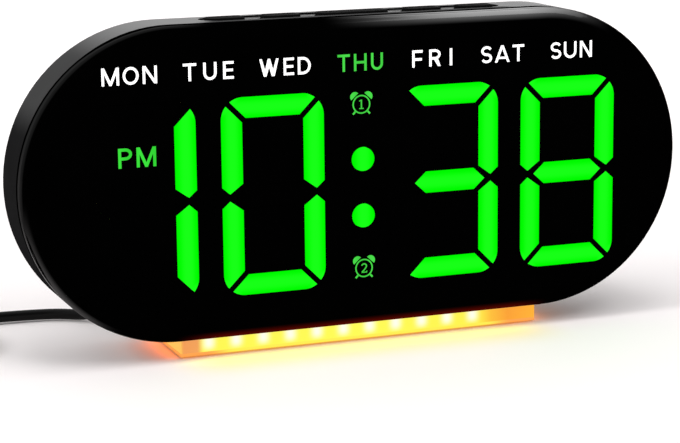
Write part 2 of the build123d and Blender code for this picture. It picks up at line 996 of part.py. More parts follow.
def cover_screws():
    """The four long screws of the rear cover."""
    pieces = []
    for x, height in cover_screw_places():
        top = screw_head_depth + screw_head_height
        head = cylinder_back(x, height, screw_head_radius, screw_head_depth, top)
        shank = cylinder_back(x, height, screw_shank_radius, screw_head_depth - screw_shank_length, screw_head_depth)
        pieces.append(cross_recess(head + shank, cover_side_plane(x, height, top)))
    return pieces


def buzzer():
    """The alarm's buzzer, a disc with its sound hole."""
    inside = body_depth - cover_wall
    body = cylinder_back(0, sound_rise, buzzer_radius, inside - buzzer_height, inside)
    hole = cylinder_back(0, sound_rise, buzzer_radius / 4, inside - buzzer_height / 2, inside + overrun)
    return body - hole


def battery_cap():
    """The coin cell's cap: a disc with a slot for a coin and two lugs."""
    near = body_depth - cap_thickness
    body = cylinder_back(cell_right, -cell_drop, cap_radius, near, body_depth)
    lug_near = near + lug_inset
    lugs = dot(cell_right, -cell_drop) * Rectangle(2 * (cap_radius + lug_reach), lug_width)
    limit = dot(cell_right, -cell_drop) * Circle(cap_radius + lug_reach)
    body += slab(lugs & limit, lug_near, lug_near + lug_thickness)
    slot = dot(cell_right, -cell_drop) * SlotOverall(cap_slot_length, cap_slot_width)
    body -= slab(slot, body_depth - cap_slot_sink, body_depth + overrun)
    return body


def coin_cell():
    """The coin cell, its smaller face forward."""
    rim = cell_height / 4
    far = cell_floor_depth + contact_thickness + cell_height
    can = cylinder_back(cell_right, -cell_drop, cell_radius, far - cell_height + rim, far)
    step = cylinder_back(cell_right, -cell_drop, cell_radius - rim, far - cell_height, far - cell_height + rim)
    return can + step


def cell_contacts():
    """The flat contact under the cell, and the one on its rear face."""
    floor = cell_floor_depth
    bar = dot(cell_right, -cell_drop) * Rectangle(contact_length, contact_width)
    under = slab(bar, floor, floor + contact_thickness)
    over_depth = floor + contact_thickness + cell_height
    over = slab(bar, over_depth, over_depth + contact_thickness)
    return [under, over]


def light_bar():
    """The clear bar that the clock stands on: a light guide in front and a hollow behind."""
    front = base_front_depth
    back = front + base_breadth
    half = base_length / 2
    body = block(-half, half, front, back, bar_low, bar_high)
    body -= block(
        -half + bar_wall, half - bar_wall,
        front + bar_solid_breadth, back - bar_wall,
        bar_low - overrun, bar_high - bar_top,
    )
    for side in (-1, 1):
        x = side * base_screw_side
        body += cylinder_up(x, base_screw_depth, bar_boss_radius, bar_low, bar_high - slip_gap)
    trough = light_breadth / 2 + light_slot_margin
    body -= block(
        light_first - light_length, light_last + light_length,
        light_row_depth - trough, light_row_depth + trough,
        bar_high - bar_trough_sink, bar_high + overrun,
    )
    for side in (-1, 1):
        x = side * base_screw_side
        depth = base_screw_depth
        body -= cylinder_up(x, depth, screw_shank_radius + screw_hole_fit, bar_low - overrun, bar_high + overrun)
        head_top = bar_low + base_head_rise + base_head_height
        body -= cylinder_up(x, depth, base_access_radius, bar_low - overrun, head_top)
    return body


def base_plate():
    """The floor of the light bar, with two openings for its screws."""
    half = base_length / 2
    body = block(-half, half, base_front_depth, base_front_depth + base_breadth, base_low, bar_low)
    for side in (-1, 1):
        body -= cylinder_up(
            side * base_screw_side, base_screw_depth, base_access_radius,
            base_low - overrun, bar_low + overrun,
        )
    return body


def base_screws():
    """The two screws that hold the light bar up against the housing."""
    pieces = []
    head_top = bar_low + base_head_rise + base_head_height
    for side in (-1, 1):
        x = side * base_screw_side
        depth = base_screw_depth
        low = head_top - base_head_height
        head = cylinder_up(x, depth, screw_head_radius, low, head_top)
        shank = cylinder_up(x, depth, screw_shank_radius, head_top, body_bottom + base_screw_length - slip_gap)
        pieces.append(cross_recess(head + shank, under_plane(x, depth, low)))
    return pieces


def feet_places():
    """The four feet, in from the corners of the base."""
    x = base_length / 2 - foot_inset
    near = base_front_depth + foot_inset
    far = base_front_depth + base_breadth - foot_inset
    return [(side * x, depth) for side in (-1, 1) for depth in (near, far)]


def feet():
    """Four thin soft pads."""
    return [cylinder_up(x, depth, foot_radius, 0, foot_height) for x, depth in feet_places()]


def light_board():
    """The strip that carries the base's lamps, on the housing's floor."""
    low = body_bottom + housing_wall
    return block(
        light_board_left_gap - floor_half, floor_half - light_board_right_gap,
        light_board_near, light_board_near + light_board_breadth,
        low, low + light_board_thickness,
    )


def base_lamps():
    """The row of lamps that shine down into the bar."""
    high = body_bottom + housing_wall
    pieces = []
    for index in range(light_count):
        x = light_first + index * light_pitch
        pieces.append(
            block(
                x - light_length / 2, x + light_length / 2,
                light_row_depth - light_breadth / 2, light_row_depth + light_breadth / 2,
                high - light_height, high,
            )
        )
    return pieces


def power_jack():
    """The power socket inside the rear cover."""
    far = body_depth - cover_wall
    level = jack_height
    body = block(
        -jack_left - jack_width / 2, -jack_left + jack_width / 2,
        jack_front_depth, far,
        level - jack_tall / 2, level + jack_tall / 2,
    )
    bore = cylinder_back(
        -jack_left, level - face_centre_height, jack_bore_radius, far - jack_bore_depth, far + overrun,
    )
    return body - bore


def power_plug():
    """The right-angled moulded plug in the jack, with its tapered strain relief pointing left."""
    level = jack_height - face_centre_height
    near = body_depth + plug_seat_gap
    body = cylinder_back(-jack_left, level, plug_body_radius, near, near + plug_body_length)
    body = fillet(body.faces().sort_by(Axis.Y)[-1].edges(), plug_body_round)
    root = Plane(origin=(-jack_left, front_y + plug_cord_depth, jack_height), x_dir=(0, 1, 0), z_dir=(-1, 0, 0))
    neck = loft([root * Circle(plug_neck_start_radius), root.offset(plug_neck_reach) * Circle(plug_neck_end_radius)])
    return body + neck


def power_pin():
    """The plug's metal sleeve, hollow at its tip."""
    level = jack_height - face_centre_height
    near = body_depth - cover_wall - plug_pin_depth
    far = body_depth + plug_seat_gap
    body = cylinder_back(-jack_left, level, plug_pin_radius, near, far)
    bore = cylinder_back(-jack_left, level, plug_pin_radius / 2, near - overrun, near + plug_pin_depth / 2)
    return body - bore


def bend_radii(points):
    """The largest even bend at each inner point of a route."""
    radii = []
    for before, here, after in zip(points, points[1:], points[2:]):
        first = Vector(*here) - Vector(*before)
        second = Vector(*after) - Vector(*here)
        turn = math.radians(first.get_angle(second))
        radii.append(bend_share * min(first.length, second.length) / math.tan(turn / 2))
    return radii


def tube(path):
    """A round lead along a path."""
    start = Plane(origin=path @ 0, z_dir=path % 0)
    return sweep(start * Circle(cord_radius), path=path)


def cord_run():
    """The lead from its plug, down to the desk and along it to the coil."""
    points = cord_route + [coil_start()]
    radii = bend_radii(points)
    print("cord run radii", [round(radius, 1) for radius in radii])
    path = FilletPolyline(*points, radius=radii)
    piece = tube(path)
    share = piece.volume / (math.pi * cord_radius**2 * path.length)
    print("cord run length", round(path.length, 1), "volume share", round(share, 4))
    return piece


def coil_start():
    """Where the lead enters the coil, on its back side, heading left."""
    return (2 * cord_radius - coil_left, coil_back, cord_level)


def coil_arcs():
    """The coil's half turns: in along the desk, a climb, and out again on top."""
    step = coil_pitch / 2
    inward = [coil_first_radius - index * step for index in range(coil_half_turns)]
    climb = inward[-1] - step
    radii = inward + [climb] + inward[:0:-1]
    arcs = []
    y = coil_back
    z = cord_level
    for index, radius in enumerate(radii):
        forward = index % 2 == 0
        rise = coil_layer if index == coil_half_turns else 0
        end_y = y - 2 * radius if forward else y + 2 * radius
        start = Vector(-coil_left, y, z)
        end = Vector(-coil_left, end_y, z + rise)
        middle = (start + end) / 2
        bulge = (end - start).length / 2
        through = middle + Vector(-bulge if forward else bulge, 0, 0)
        arcs.append((start, through, end))
        y = end_y
        z = z + rise
    return arcs


def coil_end():
    """Where the lead leaves the coil, on its back side and upper layer, heading left."""
    last = coil_arcs()[-1][2]
    return (-coil_left - 2 * cord_radius, last.Y, last.Z)


def coil_path():
    """The coil's whole line, with a short straight lead at each end."""
    arcs = coil_arcs()
    edges = [Line(coil_start(), arcs[0][0])]
    edges += [ThreePointArc(*points) for points in arcs]
    edges.append(Line(arcs[-1][2], coil_end()))
    return Wire([edge.edge() for edge in edges])


def coil_gap(path):
    """The least distance between two turns of the coil, surface to surface."""
    samples = 1600
    points = [path @ (index / samples) for index in range(samples + 1)]
    spacing = path.length / samples
    skip = int(math.pi * coil_first_radius / 2 / spacing)
    least = math.inf
    for index, here in enumerate(points):
        for there in points[index + skip:]:
            least = min(least, (here - there).length)
    return least - 2 * cord_radius


def cord_coil():
    """The rest of the lead, wound in two layers."""
    path = coil_path()
    piece = tube(path)
    share = piece.volume / (math.pi * cord_radius**2 * path.length)
    print("coil length", round(path.length, 1), "volume share", round(share, 4))
    print("coil least gap", round(coil_gap(path), 2))
    return piece


def cord_tie():
    """The flat band that holds the coil together, round all of its turns at one place."""
    step = coil_pitch / 2
    inner_radius = coil_first_radius - coil_half_turns * step
    outer_x = -coil_left - coil_first_radius - cord_radius - tie_side_fit
    inner_x = -coil_left - inner_radius + cord_radius + tie_side_fit
    low = cord_level - cord_radius - tie_fit
    high = cord_level + coil_layer + cord_radius + tie_fit
    middle_y = coil_back - coil_first_radius
    across = Plane(
        origin=((outer_x + inner_x) / 2, middle_y + tie_width / 2, (low + high) / 2),
        x_dir=(1, 0, 0),
        z_dir=(0, -1, 0),
    )
    inside = RectangleRounded(inner_x - outer_x, high - low, tie_corner)
    outside = offset(inside, amount=tie_thickness)
    return extrude(across * (outside - inside), amount=tie_width)


def usb_plane(distance):
    """A plane across the far plug, a distance on from the end of the lead."""
    x, y, z = tail_route[-1]
    return Plane(origin=(x + distance, y, z), x_dir=(0, 1, 0), z_dir=(1, 0, 0))


def usb_body():
    """The moulded grip of the far plug, with its tapered neck."""
    grip = extrude(
        usb_plane(usb_neck_length) * RectangleRounded(usb_body_width, usb_body_height, usb_body_round),
        amount=usb_body_length,
    )
    neck = loft([usb_plane(0) * Circle(usb_neck_radius), usb_plane(usb_neck_length) * Circle(usb_neck_end_radius)])
    return grip + neck


def usb_shell():
    """The far plug's metal shell, open at its end."""
    plane = usb_plane(usb_neck_length + usb_body_length)
    outside = extrude(plane * Rectangle(usb_shell_width, usb_shell_height), amount=usb_shell_length)
    wall = 2 * usb_shell_wall
    inside = extrude(
        plane.offset(usb_shell_wall) * Rectangle(usb_shell_width - wall, usb_shell_height - wall),
        amount=usb_shell_length,
    )
    return outside - inside


def usb_tongue():
    """The insulating tongue in the far plug's shell."""
    plane = usb_plane(usb_neck_length + usb_body_length + usb_shell_wall)
    wide = usb_shell_width - 2 * usb_shell_wall - usb_tongue_shy
    drop = (usb_shell_height - 2 * usb_shell_wall - usb_tongue_height) / 2
    length = usb_shell_length - usb_shell_wall - usb_tongue_shy
    return extrude(plane * dot(0, drop) * Rectangle(wide, usb_tongue_height), amount=length)


def cord_tail():
    """The end of the lead from the coil to its far plug."""
    points = [coil_end()] + tail_route
    radii = bend_radii(points)
    print("cord tail radii", [round(radius, 1) for radius in radii])
    path = FilletPolyline(*points, radius=radii)
    piece = tube(path)
    print("cord tail length", round(path.length, 1))
    return piece


def main():
    os.makedirs("parts", exist_ok=True)
    save("front_lens", front_lens())
    for name, solids in light_pipes().items():
        save(name, group(solids))
    save("display_reflector", display_reflector())
    save("display_board", display_board())
    save("display_leds", group(display_leds()))
    save("controller_chip", controller_chip())
    save("capacitors", group(capacitors()))
    save("board_connectors", group(board_connectors()))
    save("board_screws", group(board_screws()))
    save("housing", housing())
    save("rear_cover", rear_cover())
    save("cover_screws", group(cover_screws()))
    save("buzzer", buzzer())
    save("battery_cap", battery_cap())
    save("coin_cell", coin_cell())
    save("cell_contacts", group(cell_contacts()))
    for name, (x, length) in keys.items():
        save(name, key(x, length))
        save(name.replace("key", "plunger"), plunger(x))
    save("key_switches", group([switch(x) for x, length in keys.values()]))
    save("key_board", key_board())
    save("key_ribbon", key_ribbon())
    save("light_bar", light_bar())
    save("base_plate", base_plate())
    save("base_screws", group(base_screws()))
    save("feet", group(feet()))
    save("light_board", light_board())
    save("base_lamps", group(base_lamps()))
    save("light_wires", light_wires())
    save("power_jack", power_jack())
    save("jack_wires", jack_wires())
    save("power_plug", power_plug())
    save("power_pin", power_pin())
    save("cord_run", cord_run())
    save("cord_coil", cord_coil())
    save("cord_tail", cord_tail())
    save("cord_tie", cord_tie())
    save("usb_body", usb_body())
    save("usb_shell", usb_shell())
    save("usb_tongue", usb_tongue())


if __name__ == "__main__":
    main()
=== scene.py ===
import math

import bpy
from mathutils import Matrix


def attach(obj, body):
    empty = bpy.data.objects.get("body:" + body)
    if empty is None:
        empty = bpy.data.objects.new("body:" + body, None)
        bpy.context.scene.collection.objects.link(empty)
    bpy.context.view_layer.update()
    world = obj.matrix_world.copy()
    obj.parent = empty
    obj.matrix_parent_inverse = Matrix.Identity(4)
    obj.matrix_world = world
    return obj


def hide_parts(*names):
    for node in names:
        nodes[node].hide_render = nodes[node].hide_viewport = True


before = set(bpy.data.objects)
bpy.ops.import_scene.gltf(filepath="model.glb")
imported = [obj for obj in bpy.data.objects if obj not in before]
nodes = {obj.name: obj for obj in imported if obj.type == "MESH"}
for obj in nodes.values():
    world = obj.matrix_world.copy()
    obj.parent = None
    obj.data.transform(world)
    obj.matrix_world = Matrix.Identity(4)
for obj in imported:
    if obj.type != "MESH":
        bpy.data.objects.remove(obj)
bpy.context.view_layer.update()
bpy.ops.object.select_all(action="DESELECT")

# Camera
# A long lens a little above the clock, to the left of its middle, as for a shop's picture.
CAMERA_PLACE = (-0.2114, -0.5457, 0.1477)
CAMERA_TURN = (78.660, 0.608, -21.145)
CAMERA_SENSOR = 36
CAMERA_LENS = 116.5
CAMERA_NEAR = 0.01
CAMERA_FAR = 50
bpy.ops.object.camera_add(location=CAMERA_PLACE)
camera = bpy.context.object
camera.name = "camera"
camera.rotation_euler = [math.radians(angle) for angle in CAMERA_TURN]
camera.data.sensor_width = CAMERA_SENSOR
camera.data.lens = CAMERA_LENS
camera.data.clip_start = CAMERA_NEAR
camera.data.clip_end = CAMERA_FAR
bpy.context.scene.camera = camera
bpy.context.scene.view_settings.view_transform = "Standard"

# Power lead
# A thin round PVC lead: out of the plug's side neck, down to the desk and away to the left,
# where the rest of its metre is wound up flat in two layers and held by a band.
LEAD_RADIUS = 0.0015
COIL_X = -0.121
COIL_BACK_Y = 0.0455
COIL_FIRST_RADIUS = 0.024
COIL_STEP = 0.00175
COIL_LAYER = 0.0035
COIL_HALF_TURNS = 8
POINTS_PER_HALF_TURN = 7
LAY_Z = 0.002

lead_points = [
    (-0.0385, 0.0214, 0.0200),
    (-0.0475, 0.0214, 0.0200),
    (-0.0545, 0.0258, 0.0146),
    (-0.0590, 0.0322, 0.0050),
    (-0.0628, 0.0378, 0.0018),
    (-0.0695, 0.0428, 0.0019),
    (-0.0780, 0.0446, 0.0019),
    (-0.0865, 0.0450, 0.0020),
    (-0.0970, 0.0453, 0.0020),
    (-0.1075, 0.0455, 0.0020),
]
turn_radii = [COIL_FIRST_RADIUS - i * COIL_STEP for i in range(COIL_HALF_TURNS)]
turn_radii = turn_radii + [turn_radii[-1] - COIL_STEP] + turn_radii[:0:-1]
edge_y = COIL_BACK_Y
layer_z = LAY_Z
for i, radius in enumerate(turn_radii):
    direction = 1 if i % 2 == 0 else -1
    centre_y = edge_y - direction * radius
    rise = COIL_LAYER if i == COIL_HALF_TURNS else 0
    for k in range(POINTS_PER_HALF_TURN):
        part = (k + 0.5) / POINTS_PER_HALF_TURN
        angle = math.pi * part
        reach = radius / math.cos(math.pi / POINTS_PER_HALF_TURN / 2)
        lead_points.append(
            (
                COIL_X - direction * reach * math.sin(angle),
                centre_y + direction * reach * math.cos(angle),
                layer_z + rise * (1 - math.cos(angle)) / 2,
            )
        )
    edge_y = centre_y - direction * radius
    layer_z += rise
lead_points += [
    (-0.1330, 0.0455, 0.0055),
    (-0.1420, 0.0464, 0.0046),
    (-0.1483, 0.0528, 0.0032),
    (-0.1483, 0.0618, 0.0026),
    (-0.1420, 0.0681, 0.0039),
    (-0.1330, 0.0681, 0.0039),
]

lead_curve = bpy.data.curves.new("power_lead", "CURVE")
lead_curve.dimensions = "3D"
lead_curve.bevel_depth = 1.0
lead_curve.bevel_resolution = 6
lead_curve.use_fill_caps = True
spline = lead_curve.splines.new("NURBS")
spline.points.add(len(lead_points) - 1)
for point, place in zip(spline.points, lead_points):
    point.co = (*place, 1.0)
    point.radius = LEAD_RADIUS
spline.order_u = 3
spline.use_endpoint_u = True
spline.resolution_u = 6
power_lead = bpy.data.objects.new("power_lead", lead_curve)
bpy.context.scene.collection.objects.link(power_lead)
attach(power_lead, "clock")
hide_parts("cord_run", "cord_coil", "cord_tail")


def plain(name, colour, roughness, metallic=0.0, specular=0.5):
    """A new material with plain values on its shader."""
    material = bpy.data.materials.new(name)
    material.use_nodes = True
    shader = material.node_tree.nodes["Principled BSDF"]
    shader.inputs["Base Color"].default_value = (*colour, 1)
    shader.inputs["Roughness"].default_value = roughness
    shader.inputs["Metallic"].default_value = metallic
    shader.inputs["Specular IOR Level"].default_value = specular
    return material


def parts_of(material):
    """The node tree of a material and its shader."""
    tree = material.node_tree
    return tree, tree.nodes["Principled BSDF"]


def moulded_grain_group():
    """The fine spark-eroded grain of a moulded part, with a slight unevenness in its tone and sheen."""
    group = bpy.data.node_groups.new("Moulded grain", "ShaderNodeTree")
    tone = group.interface.new_socket(name="Tone", in_out="INPUT", socket_type="NodeSocketColor")
    tone.default_value = (0.02, 0.02, 0.02, 1)
    for name, value in (
        ("Tone Spread", 0.15),
        ("Grain Size", 2500.0),
        ("Grain Height", 0.15),
        ("Roughness Low", 0.4),
        ("Roughness High", 0.5),
    ):
        socket = group.interface.new_socket(name=name, in_out="INPUT", socket_type="NodeSocketFloat")
        socket.default_value = value
    group.interface.new_socket(name="Color", in_out="OUTPUT", socket_type="NodeSocketColor")
    group.interface.new_socket(name="Roughness", in_out="OUTPUT", socket_type="NodeSocketFloat")
    group.interface.new_socket(name="Normal", in_out="OUTPUT", socket_type="NodeSocketVector")
    inside = group.nodes.new("NodeGroupInput")
    outside = group.nodes.new("NodeGroupOutput")
    place = group.nodes.new("ShaderNodeTexCoord")
    grain = group.nodes.new("ShaderNodeTexNoise")
    grain.inputs["Detail"].default_value = 3
    cloud = group.nodes.new("ShaderNodeTexNoise")
    cloud.inputs["Scale"].default_value = 60
    cloud.inputs["Detail"].default_value = 4
    sheen = group.nodes.new("ShaderNodeMapRange")
    darker = group.nodes.new("ShaderNodeMath")
    darker.operation = "SUBTRACT"
    darker.inputs[0].default_value = 1
    lighter = group.nodes.new("ShaderNodeMath")
    lighter.operation = "ADD"
    lighter.inputs[0].default_value = 1
    shade = group.nodes.new("ShaderNodeMapRange")
    shade.inputs["From Min"].default_value = 0.3
    shade.inputs["From Max"].default_value = 0.7
    tinted = group.nodes.new("ShaderNodeVectorMath")
    tinted.operation = "SCALE"
    bump = group.nodes.new("ShaderNodeBump")
    bump.inputs["Distance"].default_value = 0.0001
    link = group.links.new
    link(place.outputs["Object"], grain.inputs["Vector"])
    link(place.outputs["Object"], cloud.inputs["Vector"])
    link(inside.outputs["Grain Size"], grain.inputs["Scale"])
    link(grain.outputs["Fac"], bump.inputs["Height"])
    link(inside.outputs["Grain Height"], bump.inputs["Strength"])
    link(cloud.outputs["Fac"], sheen.inputs["Value"])
    link(inside.outputs["Roughness Low"], sheen.inputs["To Min"])
    link(inside.outputs["Roughness High"], sheen.inputs["To Max"])
    link(inside.outputs["Tone Spread"], darker.inputs[1])
    link(inside.outputs["Tone Spread"], lighter.inputs[1])
    link(cloud.outputs["Fac"], shade.inputs["Value"])
    link(darker.outputs[0], shade.inputs["To Min"])
    link(lighter.outputs[0], shade.inputs["To Max"])
    link(inside.outputs["Tone"], tinted.inputs[0])
    link(shade.outputs["Result"], tinted.inputs["Scale"])
    link(tinted.outputs["Vector"], outside.inputs["Color"])
    link(sheen.outputs["Result"], outside.inputs["Roughness"])
    link(bump.outputs["Normal"], outside.inputs["Normal"])
    return group


moulded_grain = moulded_grain_group()


def moulded(name, tone, spread, size, height, low, high, metallic=0.0, specular=0.5):
    """A material with the moulded grain in it: tone, tone spread, grain size and height, roughness range."""
    material = plain(name, tone, (low + high) / 2, metallic, specular)
    tree, shader = parts_of(material)
    grain = tree.nodes.new("ShaderNodeGroup")
    grain.node_tree = moulded_grain
    grain.inputs["Tone"].default_value = (*tone, 1)
    grain.inputs["Tone Spread"].default_value = spread
    grain.inputs["Grain Size"].default_value = size
    grain.inputs["Grain Height"].default_value = height
    grain.inputs["Roughness Low"].default_value = low
    grain.inputs["Roughness High"].default_value = high
    tree.links.new(grain.outputs["Color"], shader.inputs["Base Color"])
    tree.links.new(grain.outputs["Roughness"], shader.inputs["Roughness"])
    tree.links.new(grain.outputs["Normal"], shader.inputs["Normal"])
    return material


def dress(name, material):
    """Gives a node of the frame its finish."""
    node = nodes[name]
    node.data.materials.clear()
    node.data.materials.append(material)


lead_skin = moulded("lead_pvc", (0.0015, 0.0015, 0.0015), 0.2, 900, 0.08, 0.3, 0.45, specular=0.12)
power_lead.data.materials.append(lead_skin)
dress("power_plug", lead_skin)
dress("usb_body", lead_skin)

# Lead's metal and band
# The two plugs' nickel-plated shells, the white tongue, and the black band round the coil.
plated_steel = moulded("plated_steel", (0.62, 0.62, 0.64), 0.06, 1500, 0.04, 0.2, 0.34, metallic=1.0)
dress("usb_shell", plated_steel)
dress("power_pin", plated_steel)
white_plastic = moulded("white_plastic", (0.8, 0.8, 0.79), 0.03, 1200, 0.05, 0.4, 0.5)
dress("usb_tongue", white_plastic)
band_plastic = moulded("band_plastic", (0.02, 0.02, 0.021), 0.2, 1800, 0.25, 0.45, 0.6)
dress("cord_tie", band_plastic)

# Housing ring
# A black moulded ABS ring that carries everything else. It is dull on its sides and satin on top,
# where the mould was polished for the keys. The groove and the trough's wall get painted shade: their
# colour and coat are taken to black. The trough's floor gets painted light, a lighter grey tone.
FACE_Z = 0.0463
TOP_RISE = (0.033, 0.041)
SHOULDER_RISE = (0.014, 0.023)
SHOULDER_POLISH = (0.01, 0.26)
TOP_POLISH = 0.74
GROOVE_Y = -0.0103
GROOVE_FADE = 0.0005
GROOVE_TOP_SHIFT = 0.0009
TROUGH_X = 0.0015
TROUGH_REACH = (0.040, 0.046)
TROUGH_FRONT_Y = -0.0065
TROUGH_FLOOR_Z = (0.08655, 0.08665, 0.08675, 0.08685)
TROUGH_WALL_Z = (0.08675, 0.08685, 0.08718, 0.08726)
TROUGH_FLOOR_PAINTED_LIGHT = (0.14, 0.14, 0.14)
LIP_FADE = 0.0001
LIP_DULLNESS = 0.75


def math_node(tree, kind, first, second=None):
    """One step of arithmetic between sockets or numbers."""
    node = tree.nodes.new("ShaderNodeMath")
    node.operation = kind
    for socket, value in zip(node.inputs, (first, second)):
        if isinstance(value, (int, float)):
            socket.default_value = value
        elif value is not None:
            tree.links.new(value, socket)
    return node.outputs[0]


def product(tree, *factors):
    """Sockets or numbers multiplied together."""
    total = factors[0]
    for factor in factors[1:]:
        total = math_node(tree, "MULTIPLY", total, factor)
    return total


def offset(tree, value, middle):
    """How far a socket is from a value, on either side."""
    return math_node(tree, "ABSOLUTE", math_node(tree, "SUBTRACT", value, middle))


def ramp_node(tree, value, low, high, start=0.0, end=1.0, smooth=True):
    """Runs from start to end while a socket goes from low to high."""
    node = tree.nodes.new("ShaderNodeMapRange")
    if smooth:
        node.interpolation_type = "SMOOTHSTEP"
    node.inputs["From Min"].default_value = low
    node.inputs["From Max"].default_value = high
    node.inputs["To Min"].default_value = start
    node.inputs["To Max"].default_value = end
    tree.links.new(value, node.inputs["Value"])
    return node.outputs["Result"]


def between(tree, value, start, full, last, end):
    """1 while a socket is between two values and 0 beyond them, with a soft change at each."""
    return product(tree, ramp_node(tree, value, start, full), ramp_node(tree, value, last, end, 1.0, 0.0))


def blend_node(tree, factor, first, second):
    """A colour that goes from the first to the second. Each is a socket or three numbers."""
    node = tree.nodes.new("ShaderNodeMix")
    node.data_type = "RGBA"
    tree.links.new(factor, node.inputs["Factor"])
    for name, colour in (("A", first), ("B", second)):
        if isinstance(colour, tuple):
            node.inputs[name].default_value = (*colour, 1)
        else:
            tree.links.new(colour, node.inputs[name])
    return node.outputs["Result"]


def place_nodes(tree):
    """The place of each point of a surface, as three sockets."""
    place = tree.nodes.new("ShaderNodeTexCoord")
    parts = tree.nodes.new("ShaderNodeSeparateXYZ")
    tree.links.new(place.outputs["Object"], parts.inputs["Vector"])
    return parts.outputs["X"], parts.outputs["Y"], parts.outputs["Z"]


ring_plastic = moulded("ring_plastic", (0.0085, 0.0085, 0.0088), 0.2, 2600, 0.12, 0.7, 0.8, specular=0.0)
tree, shader = parts_of(ring_plastic)
shader.inputs["Coat Roughness"].default_value = 0.32
x, y, z = place_nodes(tree)
rise = math_node(tree, "SUBTRACT", z, FACE_Z)
top = ramp_node(tree, rise, *TOP_RISE)
shoulder = ramp_node(tree, rise, *SHOULDER_RISE, *SHOULDER_POLISH)
polish = math_node(tree, "ADD", shoulder, product(tree, top, TOP_POLISH))
# Painted shade: the groove and the trough's wall are taken to black, in colour and in coat.
groove_y = math_node(tree, "SUBTRACT", y, product(tree, top, GROOVE_TOP_SHIFT))
edge = ramp_node(tree, groove_y, GROOVE_Y, GROOVE_Y + GROOVE_FADE)
along = ramp_node(tree, offset(tree, x, TROUGH_X), *TROUGH_REACH, 1.0, 0.0)
wall = product(tree, between(tree, z, *TROUGH_WALL_Z), along)
lit = product(tree, edge, math_node(tree, "SUBTRACT", 1.0, wall))
before = ramp_node(tree, y, TROUGH_FRONT_Y - LIP_FADE, TROUGH_FRONT_Y + LIP_FADE, 1.0, 0.0)
dulled = math_node(tree, "SUBTRACT", 1.0, product(tree, along, before, LIP_DULLNESS))
tree.links.new(product(tree, polish, lit, dulled), shader.inputs["Coat Weight"])
shade = tree.nodes.new("ShaderNodeVectorMath")
shade.operation = "SCALE"
tree.links.new(shader.inputs["Base Color"].links[0].from_socket, shade.inputs[0])
tree.links.new(lit, shade.inputs["Scale"])
# Painted light: the trough's floor between the keys is painted a lighter grey than the ring.
sunk = product(tree, between(tree, z, *TROUGH_FLOOR_Z), along)
floor_painted_light = blend_node(tree, sunk, shade.outputs["Vector"], TROUGH_FLOOR_PAINTED_LIGHT)
tree.links.new(floor_painted_light, shader.inputs["Base Color"])
dress("housing", ring_plastic)

# Front lens
# One moulding of deep black acrylic, glued to the ring, its windows cut for the digits. Its face has
# a dull hard coat and its rounded rim is bare and glossy. Along its lower edge the bar's light is
# painted on as a faint red glow.
FACE_HALF_FLAT = 0.0515
RIM_GLOSS = (0.0380, 0.0403)
RIM_HAIRLINE = (0.0404, 0.0408)
HAIRLINE_GLOSS = 0.06
RIM_BAND = (0.0393, 0.0407)
BAND_LOW_RISE = (-0.037, -0.031)
BAND_HIGH_RISE = (-0.024, 0.000)
BAND_GLOSS = 0.32
TOP_GLOSS_RISE = (0.012, 0.030)
TOP_GLOSS_X = (-0.012, 0.034, 0.044, 0.072)
SIDE_GLOSS_X = (-0.056, -0.040)
BACK_Y = (-0.0119, -0.0114)
BACK_TOP_RISE = (0.031, 0.040)
BACK_TOP_SHIFT = 0.0008
PAINTED_BAR_GLOW_Z = (0.0050, 0.0078)
PAINTED_BAR_GLOW_REACH = (0.040, 0.054)
PAINTED_BAR_GLOW_RED = (0.10, 0.003, 0.0003)


def hypotenuse(tree, first, second):
    """The straight way between two points that lie two sockets apart at a right angle."""
    squares = math_node(tree, "ADD", product(tree, first, first), product(tree, second, second))
    return math_node(tree, "SQRT", squares)


def light_up(tree, shader, colour):
    """Lets a surface glow in the colour of a socket."""
    tree.links.new(colour, shader.inputs["Emission Color"])
    shader.inputs["Emission Strength"].default_value = 1.0


lens_acrylic = moulded("lens_acrylic", (0.0003, 0.0003, 0.0003), 0.3, 400, 0.01, 0.10, 0.16, specular=0.0)
tree, shader = parts_of(lens_acrylic)
shader.inputs["Coat Roughness"].default_value = 0.1
shader.inputs["Coat IOR"].default_value = 2.1
x, y, z = place_nodes(tree)
off_middle = math_node(tree, "ABSOLUTE", x)
past = math_node(tree, "MAXIMUM", math_node(tree, "SUBTRACT", off_middle, FACE_HALF_FLAT), 0)
rise = math_node(tree, "SUBTRACT", z, FACE_Z)
reach = hypotenuse(tree, past, rise)
rim = ramp_node(tree, reach, *RIM_GLOSS)
upper = ramp_node(tree, rise, *TOP_GLOSS_RISE)
top_gloss = product(tree, rim, upper, between(tree, x, *TOP_GLOSS_X))
hairline = ramp_node(tree, reach, *RIM_HAIRLINE, 0.0, HAIRLINE_GLOSS)
low = product(
    tree, ramp_node(tree, rise, *BAND_HIGH_RISE, BAND_GLOSS, 0.0), ramp_node(tree, rise, *BAND_LOW_RISE),
)
band = product(tree, ramp_node(tree, reach, *RIM_BAND), low)
left = ramp_node(tree, x, *SIDE_GLOSS_X, 1.0, 0.0)
side_gloss = product(tree, math_node(tree, "MAXIMUM", hairline, band), left)
back_y = math_node(tree, "ADD", y, product(tree, ramp_node(tree, rise, *BACK_TOP_RISE), BACK_TOP_SHIFT))
front = ramp_node(tree, back_y, *BACK_Y, 1.0, 0.0)
gloss = product(tree, math_node(tree, "MAXIMUM", top_gloss, side_gloss), front)
tree.links.new(gloss, shader.inputs["Coat Weight"])
# Painted light: a faint red glow along the lens's lower edge, for the bar's light falling on it.
painted_bar_glow = product(
    tree, ramp_node(tree, z, *PAINTED_BAR_GLOW_Z, 1.0, 0.0), ramp_node(tree, off_middle, *PAINTED_BAR_GLOW_REACH, 1.0, 0.0),
)
light_up(tree, shader, blend_node(tree, painted_bar_glow, (0, 0, 0), PAINTED_BAR_GLOW_RED))
dress("front_lens", lens_acrylic)

